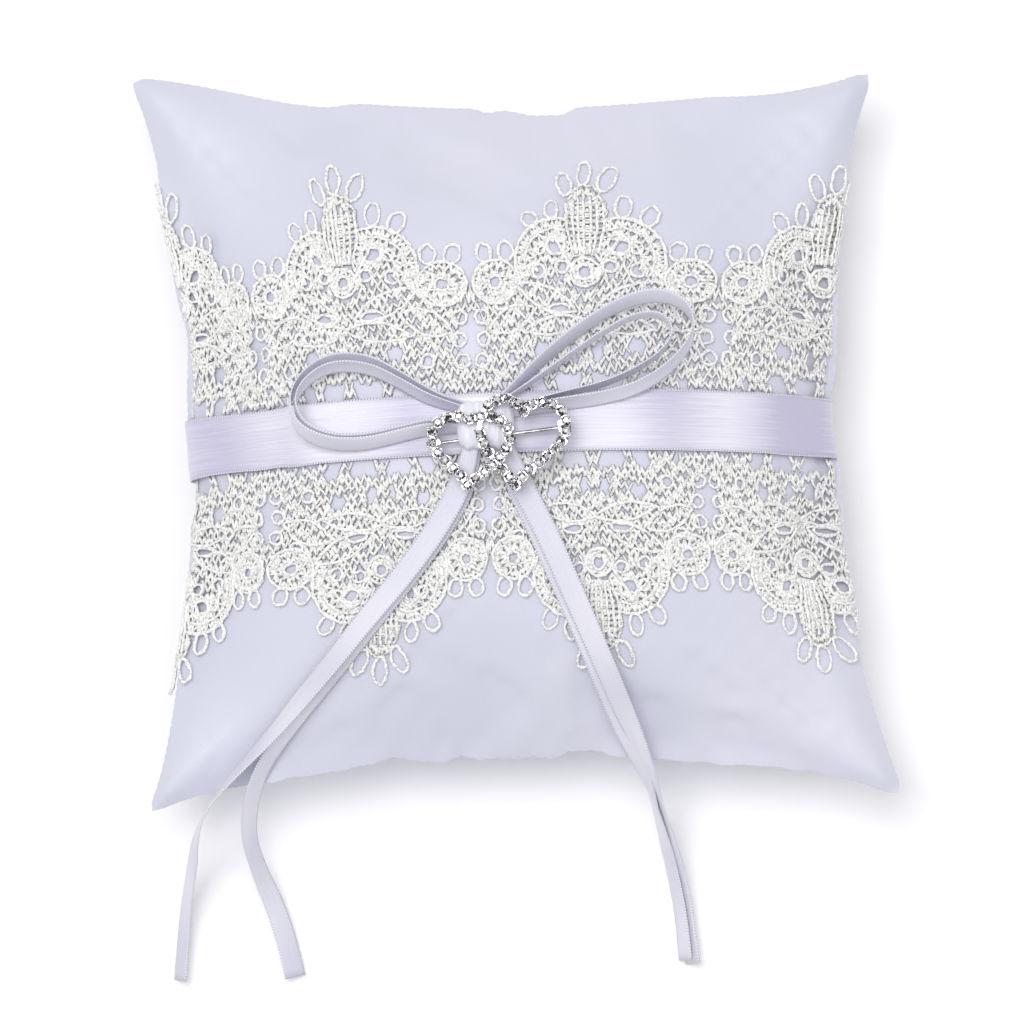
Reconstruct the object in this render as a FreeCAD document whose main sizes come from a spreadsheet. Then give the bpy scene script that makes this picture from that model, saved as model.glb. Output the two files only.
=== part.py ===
import FreeCAD, Part
import math
import os

import Sketcher

# Ring bearer pillow: a stuffed satin cushion with two scalloped lace trims and a ribbon belt
# round its waist, a ribbon bow on the crown, and a two-heart rhinestone brooch whose pin goes
# through the bow's knot. Millimetres, +Z up, origin under the middle of the pillow.

os.makedirs("parts", exist_ok=True)
doc = FreeCAD.newDocument("RingPillow")
V = FreeCAD.Vector

# ---------------------------------------------------------------- driving dimensions
SIZES = {
    # stuffed cushion
    "half_width": 100.0, "half_length": 97.0, "side_pull_in": 13.5, "end_pull_in": 10.5,
    "seam_level": 33.0, "crown_rise": 37.0, "belly_drop": 37.0, "crown_power": 2.5,
    "panel_thickness": 0.8, "fill_gap": 0.2,
    # machine seam and the hand-closed turning gap
    "seam_allowance": 2.4, "seam_inset": 1.6, "seam_thread": 0.4, "turning_gap": 62.0,
    "stitch_pitch": 5.0, "stitch_radius": 0.25, "stitch_height": 1.2, "stitch_inset": 0.7,
    # lace trims and belt, all flush on the underside
    "wrap_gap": 0.2, "wrap_thickness": 1.0, "tuck_thickness": 0.45, "tuck_depth": 3.0,
    "belt_width": 16.0, "belt_thickness": 0.5,
    "upper_repeat": 67.0, "upper_peak_x": 21.0, "upper_peak": 71.5, "upper_valley": 40.5,
    "lower_repeat": 58.0, "lower_peak_x": 22.0, "lower_peak": 65.5, "lower_valley": 39.5,
    # bow
    "ribbon_width": 6.0, "ribbon_thickness": 0.8, "loop_level": 71.5, "lean_offset": 2.7,
    "knot_length": 15.0, "knot_width": 14.0, "knot_height": 6.5, "knot_round": 2.0,
    "knot_x": -7.0, "knot_y": -1.0, "knot_level": 71.3,
    # brooch
    "pin_x": -3.4, "pin_y": -3.9, "pin_level": 74.9, "pin_angle": 5.5,
    "hinge_reach": 16.6, "catch_reach": 16.6, "pin_radius": 0.45, "pin_overhang": 2.2,
    "point_length": 4.0, "point_radius": 0.08,
    "eye_radius": 1.1, "eye_width": 1.2, "rivet_radius": 0.4, "rivet_clearance": 0.05,
    "rivet_head": 0.3, "ear_width": 0.6, "ear_gap": 1.6, "ear_length": 2.6, "ear_radius": 1.3,
    "ear_leg_rise": 0.3, "bridge_thickness": 0.7,
    "setting_level": 78.1, "rail_thickness": 1.0, "rail_width": 1.2, "cup_radius": 1.35,
    "cup_height": 2.2, "seat_radius": 1.12, "seat_depth": 0.8, "stone_radius": 1.1,
    "stone_table": 0.65, "stone_height": 1.5, "stone_pitch": 2.75, "cup_spacing": 2.6,
    "catch_radius": 2.1, "catch_bore": 1.55, "catch_length": 1.8, "catch_mouth": 1.5,
    "post_width": 1.4, "roller_radius": 1.5, "roller_bore": 0.8, "roller_length": 2.6,
    "roller_mouth": 1.2, "tab_reach": 2.9, "tab_width": 0.8, "tab_gap": 0.1,
}
sheet = doc.addObject("Spreadsheet::Sheet", "Sizes")
for row, (alias, value) in enumerate(SIZES.items(), start=1):
    sheet.set(f"A{row}", alias)
    sheet.set(f"B{row}", str(value))
    sheet.setAlias(f"B{row}", alias)
doc.recompute()


def size(alias):
    """A driving dimension, read back from the sheet."""
    return float(getattr(sheet, alias))


# ---------------------------------------------------------------- helpers
nodes = {}


def keep(name, obj):
    """Name an object as one of the part's finished pieces."""
    obj.Label = name
    nodes[name] = obj
    return obj


def bound(kind, name, placement=None, **sizes):
    """A Part primitive with each size bound to a formula over the sheet."""
    obj = doc.addObject(kind, name)
    for prop, formula in sizes.items():
        obj.setExpression(prop, formula)
    if placement:
        obj.Placement = placement
    return obj


def cut(name, base, tool):
    obj = doc.addObject("Part::Cut", name)
    obj.Base, obj.Tool = base, tool
    return obj


def fuse(name, pieces):
    obj = doc.addObject("Part::MultiFuse", name)
    obj.Shapes = pieces
    return obj


def group(name, pieces):
    obj = doc.addObject("Part::Compound", name)
    obj.Links = pieces
    return obj


def shaped(name, shape):
    """A soft piece whose curved shape no primitive or sketch gives."""
    obj = doc.addObject("Part::Feature", name)
    obj.Shape = shape
    return keep(name, obj)


# ---------------------------------------------------------------- cushion surfaces
REST_CUT = size("wrap_gap") + size("wrap_thickness")
SEAM = size("seam_level")
REACH = 2 * size("half_width") + 40


def hump(share):
    """Height share across the cushion: 1 on the middle line, 0 at the seam."""
    return 1.0 - abs(share) ** size("crown_power")


def cushion_point(across, along, outset, rise):
    """A point of the cushion's skin; across and along run from -1 to 1."""
    half_x, half_y = size("half_width") + outset, size("half_length") + outset
    pull_x = size("side_pull_in") / size("half_width")
    pull_y = size("end_pull_in") / size("half_length")
    x = half_x * across * (1 - pull_x * (1 - along ** 2))
    y = half_y * along * (1 - pull_y * (1 - across ** 2))
    return V(x, y, SEAM + rise * hump(across) * hump(along))


def skin(outset, rise, steps=16):
    """One curved face of the cushion, from seam to seam."""
    rows = []
    for i in range(steps + 1):
        across = -1 + 2 * i / steps
        rows.append([cushion_point(across, -1 + 2 * j / steps, outset, rise)
                     for j in range(steps + 1)])
    surface = Part.BSplineSurface()
    surface.interpolate(rows)
    return surface.toShape()


def cushion(grow, outset):
    """A closed cushion body: its faces grown by one amount, its seam line moved out by another."""
    lid = skin(outset, size("crown_rise") + grow)
    base = skin(outset, -(size("belly_drop") + grow))
    shell = Part.makeShell([lid, base])
    shell.sewShape()
    solid = Part.makeSolid(shell)
    if solid.Volume < 0:
        solid.reverse()
    room = Part.makeBox(REACH, REACH, REACH, V(-REACH / 2, -REACH / 2, REST_CUT - grow))
    return solid.common(room).Solids[0]


wrap_gap = size("wrap_gap")
wrap_top = wrap_gap + size("wrap_thickness")
panel_inside = -size("panel_thickness")
seam_inside = -size("seam_allowance")
cushion_full = cushion(0.0, 0.0)
cushion_hollow = cushion(panel_inside, seam_inside)

# ---------------------------------------------------------------- seam thread and closing stitches
def seam_outline(inset):
    """The seam line, moved inwards, as one closed face at the seam level."""
    edges = []
    for side in range(4):
        points = []
        for i in range(17):
            run = -1 + i / 8
            across, along = [(run, -1), (1, run), (-run, 1), (-1, -run)][side]
            points.append(cushion_point(across, along, -inset, 0.0))
        curve = Part.BSplineCurve()
        curve.interpolate(points)
        edges.append(curve.toShape())
    return Part.Face(Part.Wire(edges))


thread = size("seam_thread")
ring = seam_outline(size("seam_inset") - thread).cut(seam_outline(size("seam_inset")))
seam_ring = ring.Faces[0].extrude(V(0, 0, thread))
seam_ring.translate(V(0, 0, -thread / 2))
bottom_y = -(size("half_length") - size("end_pull_in"))
gap_depth = 20.0
gap_box = Part.makeBox(size("turning_gap"), gap_depth, gap_depth,
                       V(-size("turning_gap") / 2, bottom_y - gap_depth / 2, SEAM - gap_depth / 2))
perimeter_thread = seam_ring.cut(gap_box).Solids[0]

stitch_count = int(size("turning_gap") / size("stitch_pitch"))
stitches = []
for i in range(stitch_count):
    x = (i - (stitch_count - 1) / 2) * size("stitch_pitch")
    share = x / size("half_width")
    y = cushion_point(share, -1, 0, 0).y + size("stitch_inset")
    foot = V(x, y, SEAM - size("stitch_height") / 2)
    stitches.append(Part.makeCylinder(size("stitch_radius"), size("stitch_height"), foot))
closing = Part.makeCompound(stitches)

# ---------------------------------------------------------------- cushion pieces
above = Part.makeBox(REACH, REACH, REACH, V(-REACH / 2, -REACH / 2, SEAM))
below = Part.makeBox(REACH, REACH, REACH, V(-REACH / 2, -REACH / 2, SEAM - REACH))
cover = cushion_full.cut(cushion_hollow).cut(Part.makeCompound([perimeter_thread] + stitches))
shaped("front_panel", cover.common(above))
shaped("back_panel", cover.common(below))
shaped("polyester_fill", cushion(panel_inside - size("fill_gap"), seam_inside - size("fill_gap")))
shaped("perimeter_seam_thread", perimeter_thread)
shaped("closing_stitches", closing)

# ---------------------------------------------------------------- lace trims and belt
wrap_outer = cushion(wrap_top, wrap_top)
wrap_inner = cushion(wrap_gap, wrap_gap)
tuck_top = wrap_gap + size("tuck_thickness")
tuck_outer = cushion(tuck_top, tuck_top)
belt_under = wrap_top - size("belt_thickness")
belt_inner = cushion(belt_under, belt_under)
belt_edge = size("belt_width") / 2


def scallop(x, repeat, peak_x, peak, valley):
    """Distance of the lace's scalloped edge from the belt's middle line."""
    wave = 0.5 + 0.5 * math.cos(2 * math.pi * (x - peak_x) / repeat)
    return valley + (peak - valley) * wave ** 1.2


def lace_trim(side, repeat, peak_x, peak, valley):
    """A lace band round the cushion; side is 1 above the belt, -1 below it."""
    points = []
    steps = 60
    for i in range(steps + 1):
        x = -REACH / 2 + REACH * i / steps
        points.append(V(x, side * scallop(x, repeat, peak_x, peak, valley), 0))
    edge = Part.BSplineCurve()
    edge.interpolate(points)
    root = side * belt_edge
    corners = [points[-1], V(REACH / 2, root, 0), V(-REACH / 2, root, 0), points[0]]
    outline = Part.Wire([edge.toShape()] + Part.makePolygon(corners).Edges)
    main = Part.Face(outline).extrude(V(0, 0, REACH))
    main.translate(V(0, 0, -REACH / 4))
    tuck_y = min(root, root - side * size("tuck_depth"))
    tuck = Part.makeBox(REACH, size("tuck_depth"), REACH, V(-REACH / 2, tuck_y, -REACH / 4))
    band = wrap_outer.common(main).fuse(tuck_outer.common(tuck))
    return band.cut(wrap_inner).removeSplitter()


shaped("upper_lace_trim", lace_trim(1, size("upper_repeat"), size("upper_peak_x"),
                                    size("upper_peak"), size("upper_valley")))
shaped("lower_lace_trim", lace_trim(-1, size("lower_repeat"), size("lower_peak_x"),
                                    size("lower_peak"), size("lower_valley")))
belt_slab = Part.makeBox(REACH, size("belt_width"), REACH, V(-REACH / 2, -belt_edge, -REACH / 4))
shaped("belt_ribbon", wrap_outer.common(belt_slab).cut(belt_inner))

# ---------------------------------------------------------------- bow knot, as a sketched pad
knot = doc.addObject("PartDesign::Body", "KnotBody")
flat_plane = [f for f in knot.Origin.OriginFeatures if f.Role == "XY_Plane"][0]
knot_plan = knot.newObject("Sketcher::SketchObject", "KnotPlan")
knot_plan.AttachmentSupport = (flat_plane, [""])
knot_plan.MapMode = "FlatFace"
half_x, half_y = size("knot_length") / 2, size("knot_width") / 2
corner = [V(-half_x, -half_y, 0), V(half_x, -half_y, 0),
          V(half_x, half_y, 0), V(-half_x, half_y, 0)]
for i in range(4):
    knot_plan.addGeometry(Part.LineSegment(corner[i], corner[(i + 1) % 4]), False)
for i in range(4):
    knot_plan.addConstraint(Sketcher.Constraint("Coincident", i, 2, (i + 1) % 4, 1))
for i, direction in enumerate(["Horizontal", "Vertical", "Horizontal", "Vertical"]):
    knot_plan.addConstraint(Sketcher.Constraint(direction, i))
knot_plan.addConstraint(Sketcher.Constraint("Symmetric", 0, 1, 2, 1, -1, 1))
long_side = knot_plan.addConstraint(Sketcher.Constraint("DistanceX", 0, 1, 0, 2, 2 * half_x))
short_side = knot_plan.addConstraint(Sketcher.Constraint("DistanceY", 1, 1, 1, 2, 2 * half_y))
knot_plan.setExpression(f"Constraints[{long_side}]", "Sizes.knot_length")
knot_plan.setExpression(f"Constraints[{short_side}]", "Sizes.knot_width")
knot_pad = knot.newObject("PartDesign::Pad", "KnotPad")
knot_pad.Profile = knot_plan
knot_pad.setExpression("Length", "Sizes.knot_height")
doc.recompute()
upper_edges = []
for number, edge in enumerate(knot_pad.Shape.Edges, start=1):
    upright = abs(edge.tangentAt(edge.FirstParameter).z) > 0.9
    at_top = min(v.Z for v in edge.Vertexes) > size("knot_height") - 0.01
    if upright or at_top:
        upper_edges.append(f"Edge{number}")
knot_round = knot.newObject("PartDesign::Fillet", "KnotRound")
knot_round.Base = (knot_pad, upper_edges)
knot_round.setExpression("Radius", "Sizes.knot_round")
knot.Placement.Base = V(size("knot_x"), size("knot_y"), size("knot_level"))
doc.recompute()

# ---------------------------------------------------------------- ribbons
def rounded_route(name, points):
    """The route as straight runs and tangent arcs: a list of (kind, start, middle, end)."""
    runs = [(points[i + 1] - points[i]) for i in range(len(points) - 1)]
    stretches, radii = [], []
    here = points[0]
    for i in range(1, len(points) - 1):
        before, after = V(runs[i - 1]).normalize(), V(runs[i]).normalize()
        turn = before.getAngle(after)
        setback = 0.45 * min(runs[i - 1].Length, runs[i].Length)
        radius = setback / math.tan(turn / 2)
        start, end = points[i] - before * setback, points[i] + after * setback
        centre_line = V(after - before).normalize()
        bulge = radius / math.cos(turn / 2) - radius
        stretches.append(("run", here, (here + start) * 0.5, start))
        stretches.append(("arc", start, points[i] + centre_line * bulge, end))
        radii.append(round(radius, 1))
        here = end
    stretches.append(("run", here, (here + points[-1]) * 0.5, points[-1]))
    print(name, "bend radii in mm:", radii)
    return stretches


def level_side(direction):
    """The horizontal direction square to a route's direction."""
    return V(-direction.y, direction.x, 0).normalize()


def ribbon_strip(name, points, width, depth):
    """A flat ribbon: a strip of the given width along the route, made solid along depth."""
    left, right, length, level_length = [], [], 0.0, 0.0
    for kind, start, middle, end in rounded_route(name, points):
        if kind == "run":
            sides = [level_side(end - start)] * 3
            piece = Part.makeLine(start, end)
        else:
            piece = arc = Part.Arc(start, middle, end).toShape()
            sides = [level_side(arc.tangentAt(arc.FirstParameter)), level_side(end - start),
                     level_side(arc.tangentAt(arc.LastParameter))]
        length += piece.Length
        level_share = V(end.x - start.x, end.y - start.y, 0).Length / (end - start).Length
        level_length += level_share * piece.Length
        for edges, half in ((left, width / 2), (right, -width / 2)):
            a, b, c = start + sides[0] * half, middle + sides[1] * half, end + sides[2] * half
            edges.append(Part.makeLine(a, c) if kind == "run" else Part.Arc(a, b, c).toShape())
    faces = []
    for side_a, side_b in zip(left, right):
        lower = Part.makeRuledSurface(side_a, side_b)
        faces += [lower, lower.translated(depth), side_a.extrude(depth), side_b.extrude(depth)]
    for edge, corner in ((0, 0), (-1, -1)):
        end_a, end_b = left[edge].Vertexes[corner], right[edge].Vertexes[corner]
        faces.append(Part.makeLine(end_a.Point, end_b.Point).extrude(depth))
    shell = Part.makeShell(faces)
    shell.sewShape()
    strip = Part.makeSolid(shell)
    if strip.Volume < 0:
        strip.reverse()
    # the thickness is measured upright, so the section goes with the length seen from above
    print(name, "length", round(length, 1), "volume", round(strip.Volume, 1),
          "section times level length", round(level_length * width * depth.Length, 1))
    return strip


ribbon_width, ribbon_thickness = size("ribbon_width"), size("ribbon_thickness")
knot_top = size("knot_level") + size("knot_height")
over_knot = Part.makeBox(size("knot_length"), size("knot_width"), size("knot_height"),
                         V(size("knot_x") - half_x, size("knot_y") - half_y, knot_top))
loop_level = size("loop_level")


def outside_knot(strip):
    """The one length of ribbon that is left once the knot takes its end."""
    return max(strip.cut(knot.Shape).cut(over_knot).Solids, key=lambda solid: solid.Volume)


# Loops stand on edge, as a springy ribbon does. The left pair tilts down the crown from the
# knot's side, the right pair from a line just beside the knot.
knot_left = V(size("knot_x") - half_x, size("knot_y"), loop_level)
beside_knot = V(size("knot_x") + half_x + size("lean_offset"), size("knot_y") + half_y, loop_level)
LEFT_LEAN = {"hinge": knot_left, "axis": V(0, 1, 0), "tilt": -8.0}
RIGHT_LEAN = {"hinge": beside_knot, "axis": V(-0.5, 0.86, 0), "tilt": 3.7}
LOOPS = {
    "left_front_loop": {"lean": LEFT_LEAN, "route": [
        (-12, 4), (-20, 6.5), (-28, 12), (-37, 17.5), (-47, 18.5), (-55, 14), (-58.5, 7),
        (-56, 0), (-48, -4), (-38, -4.5), (-28, -2.4), (-20, -1.2), (-12, -1.8)]},
    "left_rear_loop": {"lean": LEFT_LEAN, "route": [
        (-12, 2.2), (-20, 3.8), (-29, 9), (-37, 13.5), (-45, 14.5), (-51, 11), (-53, 6),
        (-50, 1.5), (-43, -0.7), (-36, -0.6), (-28, 0.4), (-20, 1), (-12, 0.2)]},
    "right_outer_loop": {"lean": RIGHT_LEAN, "route": [
        (-4, 5.2), (4, 12), (13, 20), (24, 27.5), (34, 32), (42, 32), (48, 27.5), (48, 20.5),
        (42, 13), (33, 7.5), (23, 5), (13, 4), (-3, 1.5)]},
    "right_inner_loop": {"lean": RIGHT_LEAN, "route": [
        (-4, 4.2), (5, 9.5), (15, 16.5), (25, 23), (33, 27), (40, 27), (43, 22.5), (40, 17),
        (32, 12), (23, 8.5), (13, 6.5), (-3, 2.6)]},
}
for name, loop in LOOPS.items():
    route = [V(x, y, loop_level) for x, y in loop["route"]]
    strip = ribbon_strip(name, route, ribbon_thickness, V(0, 0, ribbon_width))
    lean = loop["lean"]
    strip.rotate(lean["hinge"], lean["axis"], lean["tilt"])
    shaped(name, outside_knot(strip))

# Tails lie flat: down the crown, over the seam and out on the table, to their cut ends.
TAILS = {
    "left_outer_tail": [
        (-10.5, -5, 73.4), (-13, -15, 72.9), (-21, -28, 70.6), (-30, -39, 66.9), (-39.5, -49, 62.2),
        (-49, -59.5, 56.4), (-58, -69, 50.3), (-66.5, -78, 44.9), (-75, -86, 40.5),
        (-83, -93.5, 36.0), (-89, -102, 27.0), (-93, -112, 15.0), (-95.5, -122, 6.0),
        (-96.5, -132, 1.8), (-97, -142, 0.6)],
    "left_inner_tail": [
        (-10, -5, 72.0), (-12, -15, 71.5), (-20, -28, 69.2), (-29, -39, 65.5), (-38.5, -49, 60.8),
        (-48, -59.5, 55.0), (-57, -69, 48.9), (-65, -77.5, 43.5), (-71, -86, 38.8),
        (-75, -95, 32.0), (-76, -104, 21.0), (-74, -113, 11.0), (-70.5, -122, 4.2),
        (-67.5, -132, 1.4), (-65.5, -142, 0.5)],
    "right_front_tail": [
        (-2.5, -5, 73.4), (1, -15, 73.1), (7, -27, 71.7), (12, -39, 68.8), (17, -51, 64.2),
        (22, -63, 57.8), (26.5, -74, 49.7), (31, -84, 41.3), (34.5, -93, 30.9),
        (37.5, -101.5, 19.6), (40, -110.5, 10.0), (42, -120, 4.4), (43.5, -130, 2.2),
        (44.5, -142, 1.5)],
    "right_rear_tail": [
        (-2.5, -5, 72.0), (0, -15, 71.7), (5.5, -27, 70.3), (10.5, -39, 67.4), (15.5, -51, 62.8),
        (20.5, -63, 56.4), (25, -74, 48.2), (29.5, -84, 39.8), (32.5, -93, 29.0),
        (35, -101.5, 17.5), (37, -110.5, 8.0), (38.5, -120, 2.8), (39.5, -130, 0.9),
        (40, -141, 0.4)],
}
for name, route in TAILS.items():
    points = [V(x, y, z) for x, y, z in route]
    strip = ribbon_strip(name, points, ribbon_width, V(0, 0, ribbon_thickness))
    shaped(name, outside_knot(strip))

# ---------------------------------------------------------------- brooch frame of reference
brooch = FreeCAD.Placement(V(size("pin_x"), size("pin_y"), 0),
                           FreeCAD.Rotation(V(0, 0, 1), size("pin_angle")))


def on_brooch(x, y, z, axis=V(0, 0, 1)):
    """A place in the brooch's own frame, whose X runs along the pin; axis is the piece's own Z."""
    turn = FreeCAD.Rotation(V(0, 0, 1), axis)
    return brooch.multiply(FreeCAD.Placement(V(x, y, z), turn))


ALONG, ACROSS = V(1, 0, 0), V(0, 1, 0)
pin_level, hinge_x, catch_x = size("pin_level"), size("hinge_reach"), -size("catch_reach")

# ---------------------------------------------------------------- pin stem, with its eye
shaft_start = catch_x - size("pin_overhang") + size("point_length")
shaft = bound("Part::Cylinder", "StemShaft", on_brooch(shaft_start, 0, pin_level, ALONG),
              Radius="Sizes.pin_radius",
              Height="Sizes.hinge_reach + Sizes.catch_reach + Sizes.pin_overhang"
                     " - Sizes.point_length - 2 * Sizes.rivet_radius")
point_place = on_brooch(shaft_start - size("point_length"), 0, pin_level, ALONG)
point = bound("Part::Cone", "StemPoint", point_place, Radius1="Sizes.point_radius",
              Radius2="Sizes.pin_radius", Height="Sizes.point_length")
eye_place = on_brooch(hinge_x, -size("eye_width") / 2, pin_level, ACROSS)
eye = bound("Part::Cylinder", "StemEye", eye_place,
            Radius="Sizes.eye_radius", Height="Sizes.eye_width")
eye_bore = bound("Part::Cylinder", "StemEyeBore", eye_place,
                 Radius="Sizes.rivet_radius + Sizes.rivet_clearance", Height="Sizes.eye_width")
keep("pin_stem", cut("pin_stem", fuse("StemBlank", [shaft, point, eye]), eye_bore))

# ---------------------------------------------------------------- hinge bracket and rivet
ear_reach = size("ear_gap") / 2 + size("ear_width")
ear_left = hinge_x - size("ear_length") / 2
ears = []
for side, start in (("Front", -ear_reach), ("Back", size("ear_gap") / 2)):
    ears.append(bound("Part::Cylinder", f"Ear{side}", on_brooch(hinge_x, start, pin_level, ACROSS),
                      Radius="Sizes.ear_radius", Height="Sizes.ear_width"))
    ears.append(bound("Part::Box", f"EarLeg{side}",
                      on_brooch(ear_left, start, pin_level + size("ear_leg_rise")),
                      Length="Sizes.ear_length", Width="Sizes.ear_width",
                      Height="Sizes.setting_level - Sizes.pin_level - Sizes.ear_leg_rise"))
bridge_level = size("setting_level") - size("bridge_thickness")
bridge = bound("Part::Box", "EarBridge", on_brooch(ear_left, -ear_reach, bridge_level),
               Length="Sizes.ear_length", Width="Sizes.ear_gap + 2 * Sizes.ear_width",
               Height="Sizes.bridge_thickness")
rivet_place = on_brooch(hinge_x, -ear_reach, pin_level, ACROSS)
rivet_hole = bound("Part::Cylinder", "RivetHole", rivet_place, Radius="Sizes.rivet_radius",
                   Height="Sizes.ear_gap + 2 * Sizes.ear_width")
keep("hinge_bracket", cut("hinge_bracket", fuse("BracketBlank", ears + [bridge]), rivet_hole))
rivet_pin = bound("Part::Cylinder", "RivetPin", rivet_place, Radius="Sizes.rivet_radius",
                  Height="Sizes.ear_gap + 2 * Sizes.ear_width")
heads = []
for side, start in (("Front", -ear_reach - size("rivet_head")), ("Back", ear_reach)):
    heads.append(bound("Part::Cylinder", f"RivetHead{side}",
                       on_brooch(hinge_x, start, pin_level, ACROSS),
                       Radius="Sizes.rivet_radius * 2", Height="Sizes.rivet_head"))
keep("hinge_rivet", fuse("hinge_rivet", [rivet_pin] + heads))

# ---------------------------------------------------------------- safety catch
half_catch = size("catch_length") / 2
catch_start = catch_x - half_catch
sleeve = bound("Part::Cylinder", "CatchSleeve", on_brooch(catch_start, 0, pin_level, ALONG),
               Radius="Sizes.catch_radius", Height="Sizes.catch_length")
post_level = pin_level + size("catch_bore")
post = bound("Part::Box", "CatchPost", on_brooch(catch_start, -size("post_width") / 2, post_level),
             Length="Sizes.catch_length", Width="Sizes.post_width",
             Height="Sizes.setting_level - Sizes.pin_level - Sizes.catch_bore")
bore = bound("Part::Cylinder", "CatchBore", on_brooch(catch_start, 0, pin_level, ALONG),
             Radius="Sizes.catch_bore", Height="Sizes.catch_length")
mouth_level = pin_level - 2 * size("catch_radius")
mouth = bound("Part::Box", "CatchMouth",
              on_brooch(catch_start, -size("catch_mouth") / 2, mouth_level),
              Length="Sizes.catch_length", Width="Sizes.catch_mouth",
              Height="2 * Sizes.catch_radius")
keep("catch_body", cut("catch_body", fuse("CatchBlank", [sleeve, post]),
                       fuse("CatchHollow", [bore, mouth])))

half_roller = size("roller_length") / 2
roller_start = catch_x - half_roller
drum = bound("Part::Cylinder", "RollerDrum", on_brooch(roller_start, 0, pin_level, ALONG),
             Radius="Sizes.roller_radius", Height="Sizes.roller_length")
tab_start = catch_x + half_catch + size("tab_gap")
tab = bound("Part::Box", "RollerTab",
            on_brooch(tab_start, -size("tab_reach"), pin_level - size("tab_width") / 2),
            Length="Sizes.roller_length / 2 - Sizes.catch_length / 2 - Sizes.tab_gap",
            Width="Sizes.tab_reach", Height="Sizes.tab_width")
drum_bore = bound("Part::Cylinder", "RollerBore", on_brooch(roller_start, 0, pin_level, ALONG),
                  Radius="Sizes.roller_bore", Height="Sizes.roller_length")
slot_level = pin_level - size("tab_reach")
drum_mouth = bound("Part::Box", "RollerMouth",
                   on_brooch(roller_start, -size("roller_mouth") / 2, slot_level),
                   Length="Sizes.roller_length", Width="Sizes.roller_mouth",
                   Height="Sizes.tab_reach")
keep("catch_roller", cut("catch_roller", fuse("RollerBlank", [drum, tab]),
                         fuse("RollerHollow", [drum_bore, drum_mouth])))

# ---------------------------------------------------------------- heart setting and its stones
# Each heart's line runs from its lower tip up the left side, over the dip and down the right.
HEARTS = {
    "left": [(-12.2, -17.2), (-17.6, -10.6), (-21, -5), (-19, -0.6), (-14.8, 0.7), (-11, 0.0),
             (-7.2, 0.5), (-2.8, -0.8), (-0.7, -4.8), (-3.4, -10.2)],
    "right": [(0.3, -17.6), (-5, -10.8), (-8.4, -4), (-7.2, 2.2), (-2.6, 4.8), (3.1, 1.4),
              (8.4, 3.6), (13, 0.9), (13.6, -4.4), (8.4, -10.6)],
}
DIP = 5  # the place of the dip in each list


def heart_places(points):
    """Places for the stones at an even pitch along a heart's two sides."""
    places = []
    for half in (points[:DIP + 1], points[DIP:] + points[:1]):
        curve = Part.BSplineCurve()
        curve.interpolate([V(x, y, 0) for x, y in half])
        edge = curve.toShape()
        count = round(edge.Length / size("stone_pitch"))
        places += edge.discretize(Number=count + 1)[:-1]
    return places


setting_level = size("setting_level")
seat_level = setting_level + size("cup_height") - size("seat_depth")
metal, seats, stones, taken = [], [], {}, []
for heart, points in HEARTS.items():
    stones[heart] = []
    places = heart_places(points)
    for i, spot in enumerate(places):
        following = places[(i + 1) % len(places)]
        step = following - spot
        link_turn = FreeCAD.Rotation(V(1, 0, 0), step)
        link_foot = V(spot.x, spot.y, setting_level)
        link_corner = link_foot + link_turn.multVec(V(0, -size("rail_width") / 2, 0))
        link = bound("Part::Box", f"Link_{heart}_{i}", FreeCAD.Placement(link_corner, link_turn),
                     Width="Sizes.rail_width", Height="Sizes.rail_thickness")
        link.Length = step.Length
        metal.append(link)
        if any((spot - other).Length < size("cup_spacing") for other in taken):
            continue
        metal.append(bound("Part::Cylinder", f"Cup_{heart}_{i}",
                           FreeCAD.Placement(link_foot, FreeCAD.Rotation()),
                           Radius="Sizes.cup_radius", Height="Sizes.cup_height"))
        seat_place = FreeCAD.Placement(V(spot.x, spot.y, seat_level), FreeCAD.Rotation())
        seats.append(bound("Part::Cylinder", f"Seat_{heart}_{i}", seat_place,
                           Radius="Sizes.seat_radius", Height="Sizes.seat_depth"))
        stones[heart].append(bound("Part::Cone", f"Stone_{heart}_{i}", seat_place,
                                   Radius1="Sizes.stone_radius", Radius2="Sizes.stone_table",
                                   Height="Sizes.stone_height"))
    if heart == "left":
        taken = list(places)
doc.recompute()
keep("brooch_setting", cut("brooch_setting", fuse("SettingMetal", metal),
                           fuse("SettingSeats", seats)))
for heart in HEARTS:
    keep(f"{heart}_heart_stones", group(f"{heart}_heart_stones", stones[heart]))

# ---------------------------------------------------------------- the knot, pierced for the pin
pierced = bound("Part::Cylinder", "KnotPiercing", on_brooch(catch_x, 0, pin_level, ALONG),
                Radius="Sizes.pin_radius + Sizes.rivet_clearance",
                Height="Sizes.hinge_reach + Sizes.catch_reach")
keep("bow_knot", cut("bow_knot", knot, pierced))
doc.recompute()

# ---------------------------------------------------------------- check and write
for obj in doc.Objects:
    if "Invalid" in obj.State or "Error" in obj.State:
        raise RuntimeError(f"{obj.Name} failed: {obj.State}")
for name, obj in nodes.items():
    shape = obj.Shape
    if shape.isNull() or not shape.isValid() or not shape.Solids:
        raise RuntimeError(f"{name} has no valid solid")
    shape.exportStep(f"parts/{name}.step")
    box = shape.optimalBoundingBox()
    print(f"{name:24s} solids {len(shape.Solids):3d} volume {shape.Volume:10.1f} "
          f"z {box.ZMin:6.2f} to {box.ZMax:6.2f}")
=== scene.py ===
# %% [markdown]
# A satin ring pillow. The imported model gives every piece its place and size, so the first
# step loads it and keeps its outer box. Everything is in metres, with +Z up.

# %% Load the frame
import math

import bmesh
import bpy
import numpy as np
from mathutils import Matrix, Vector


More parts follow.
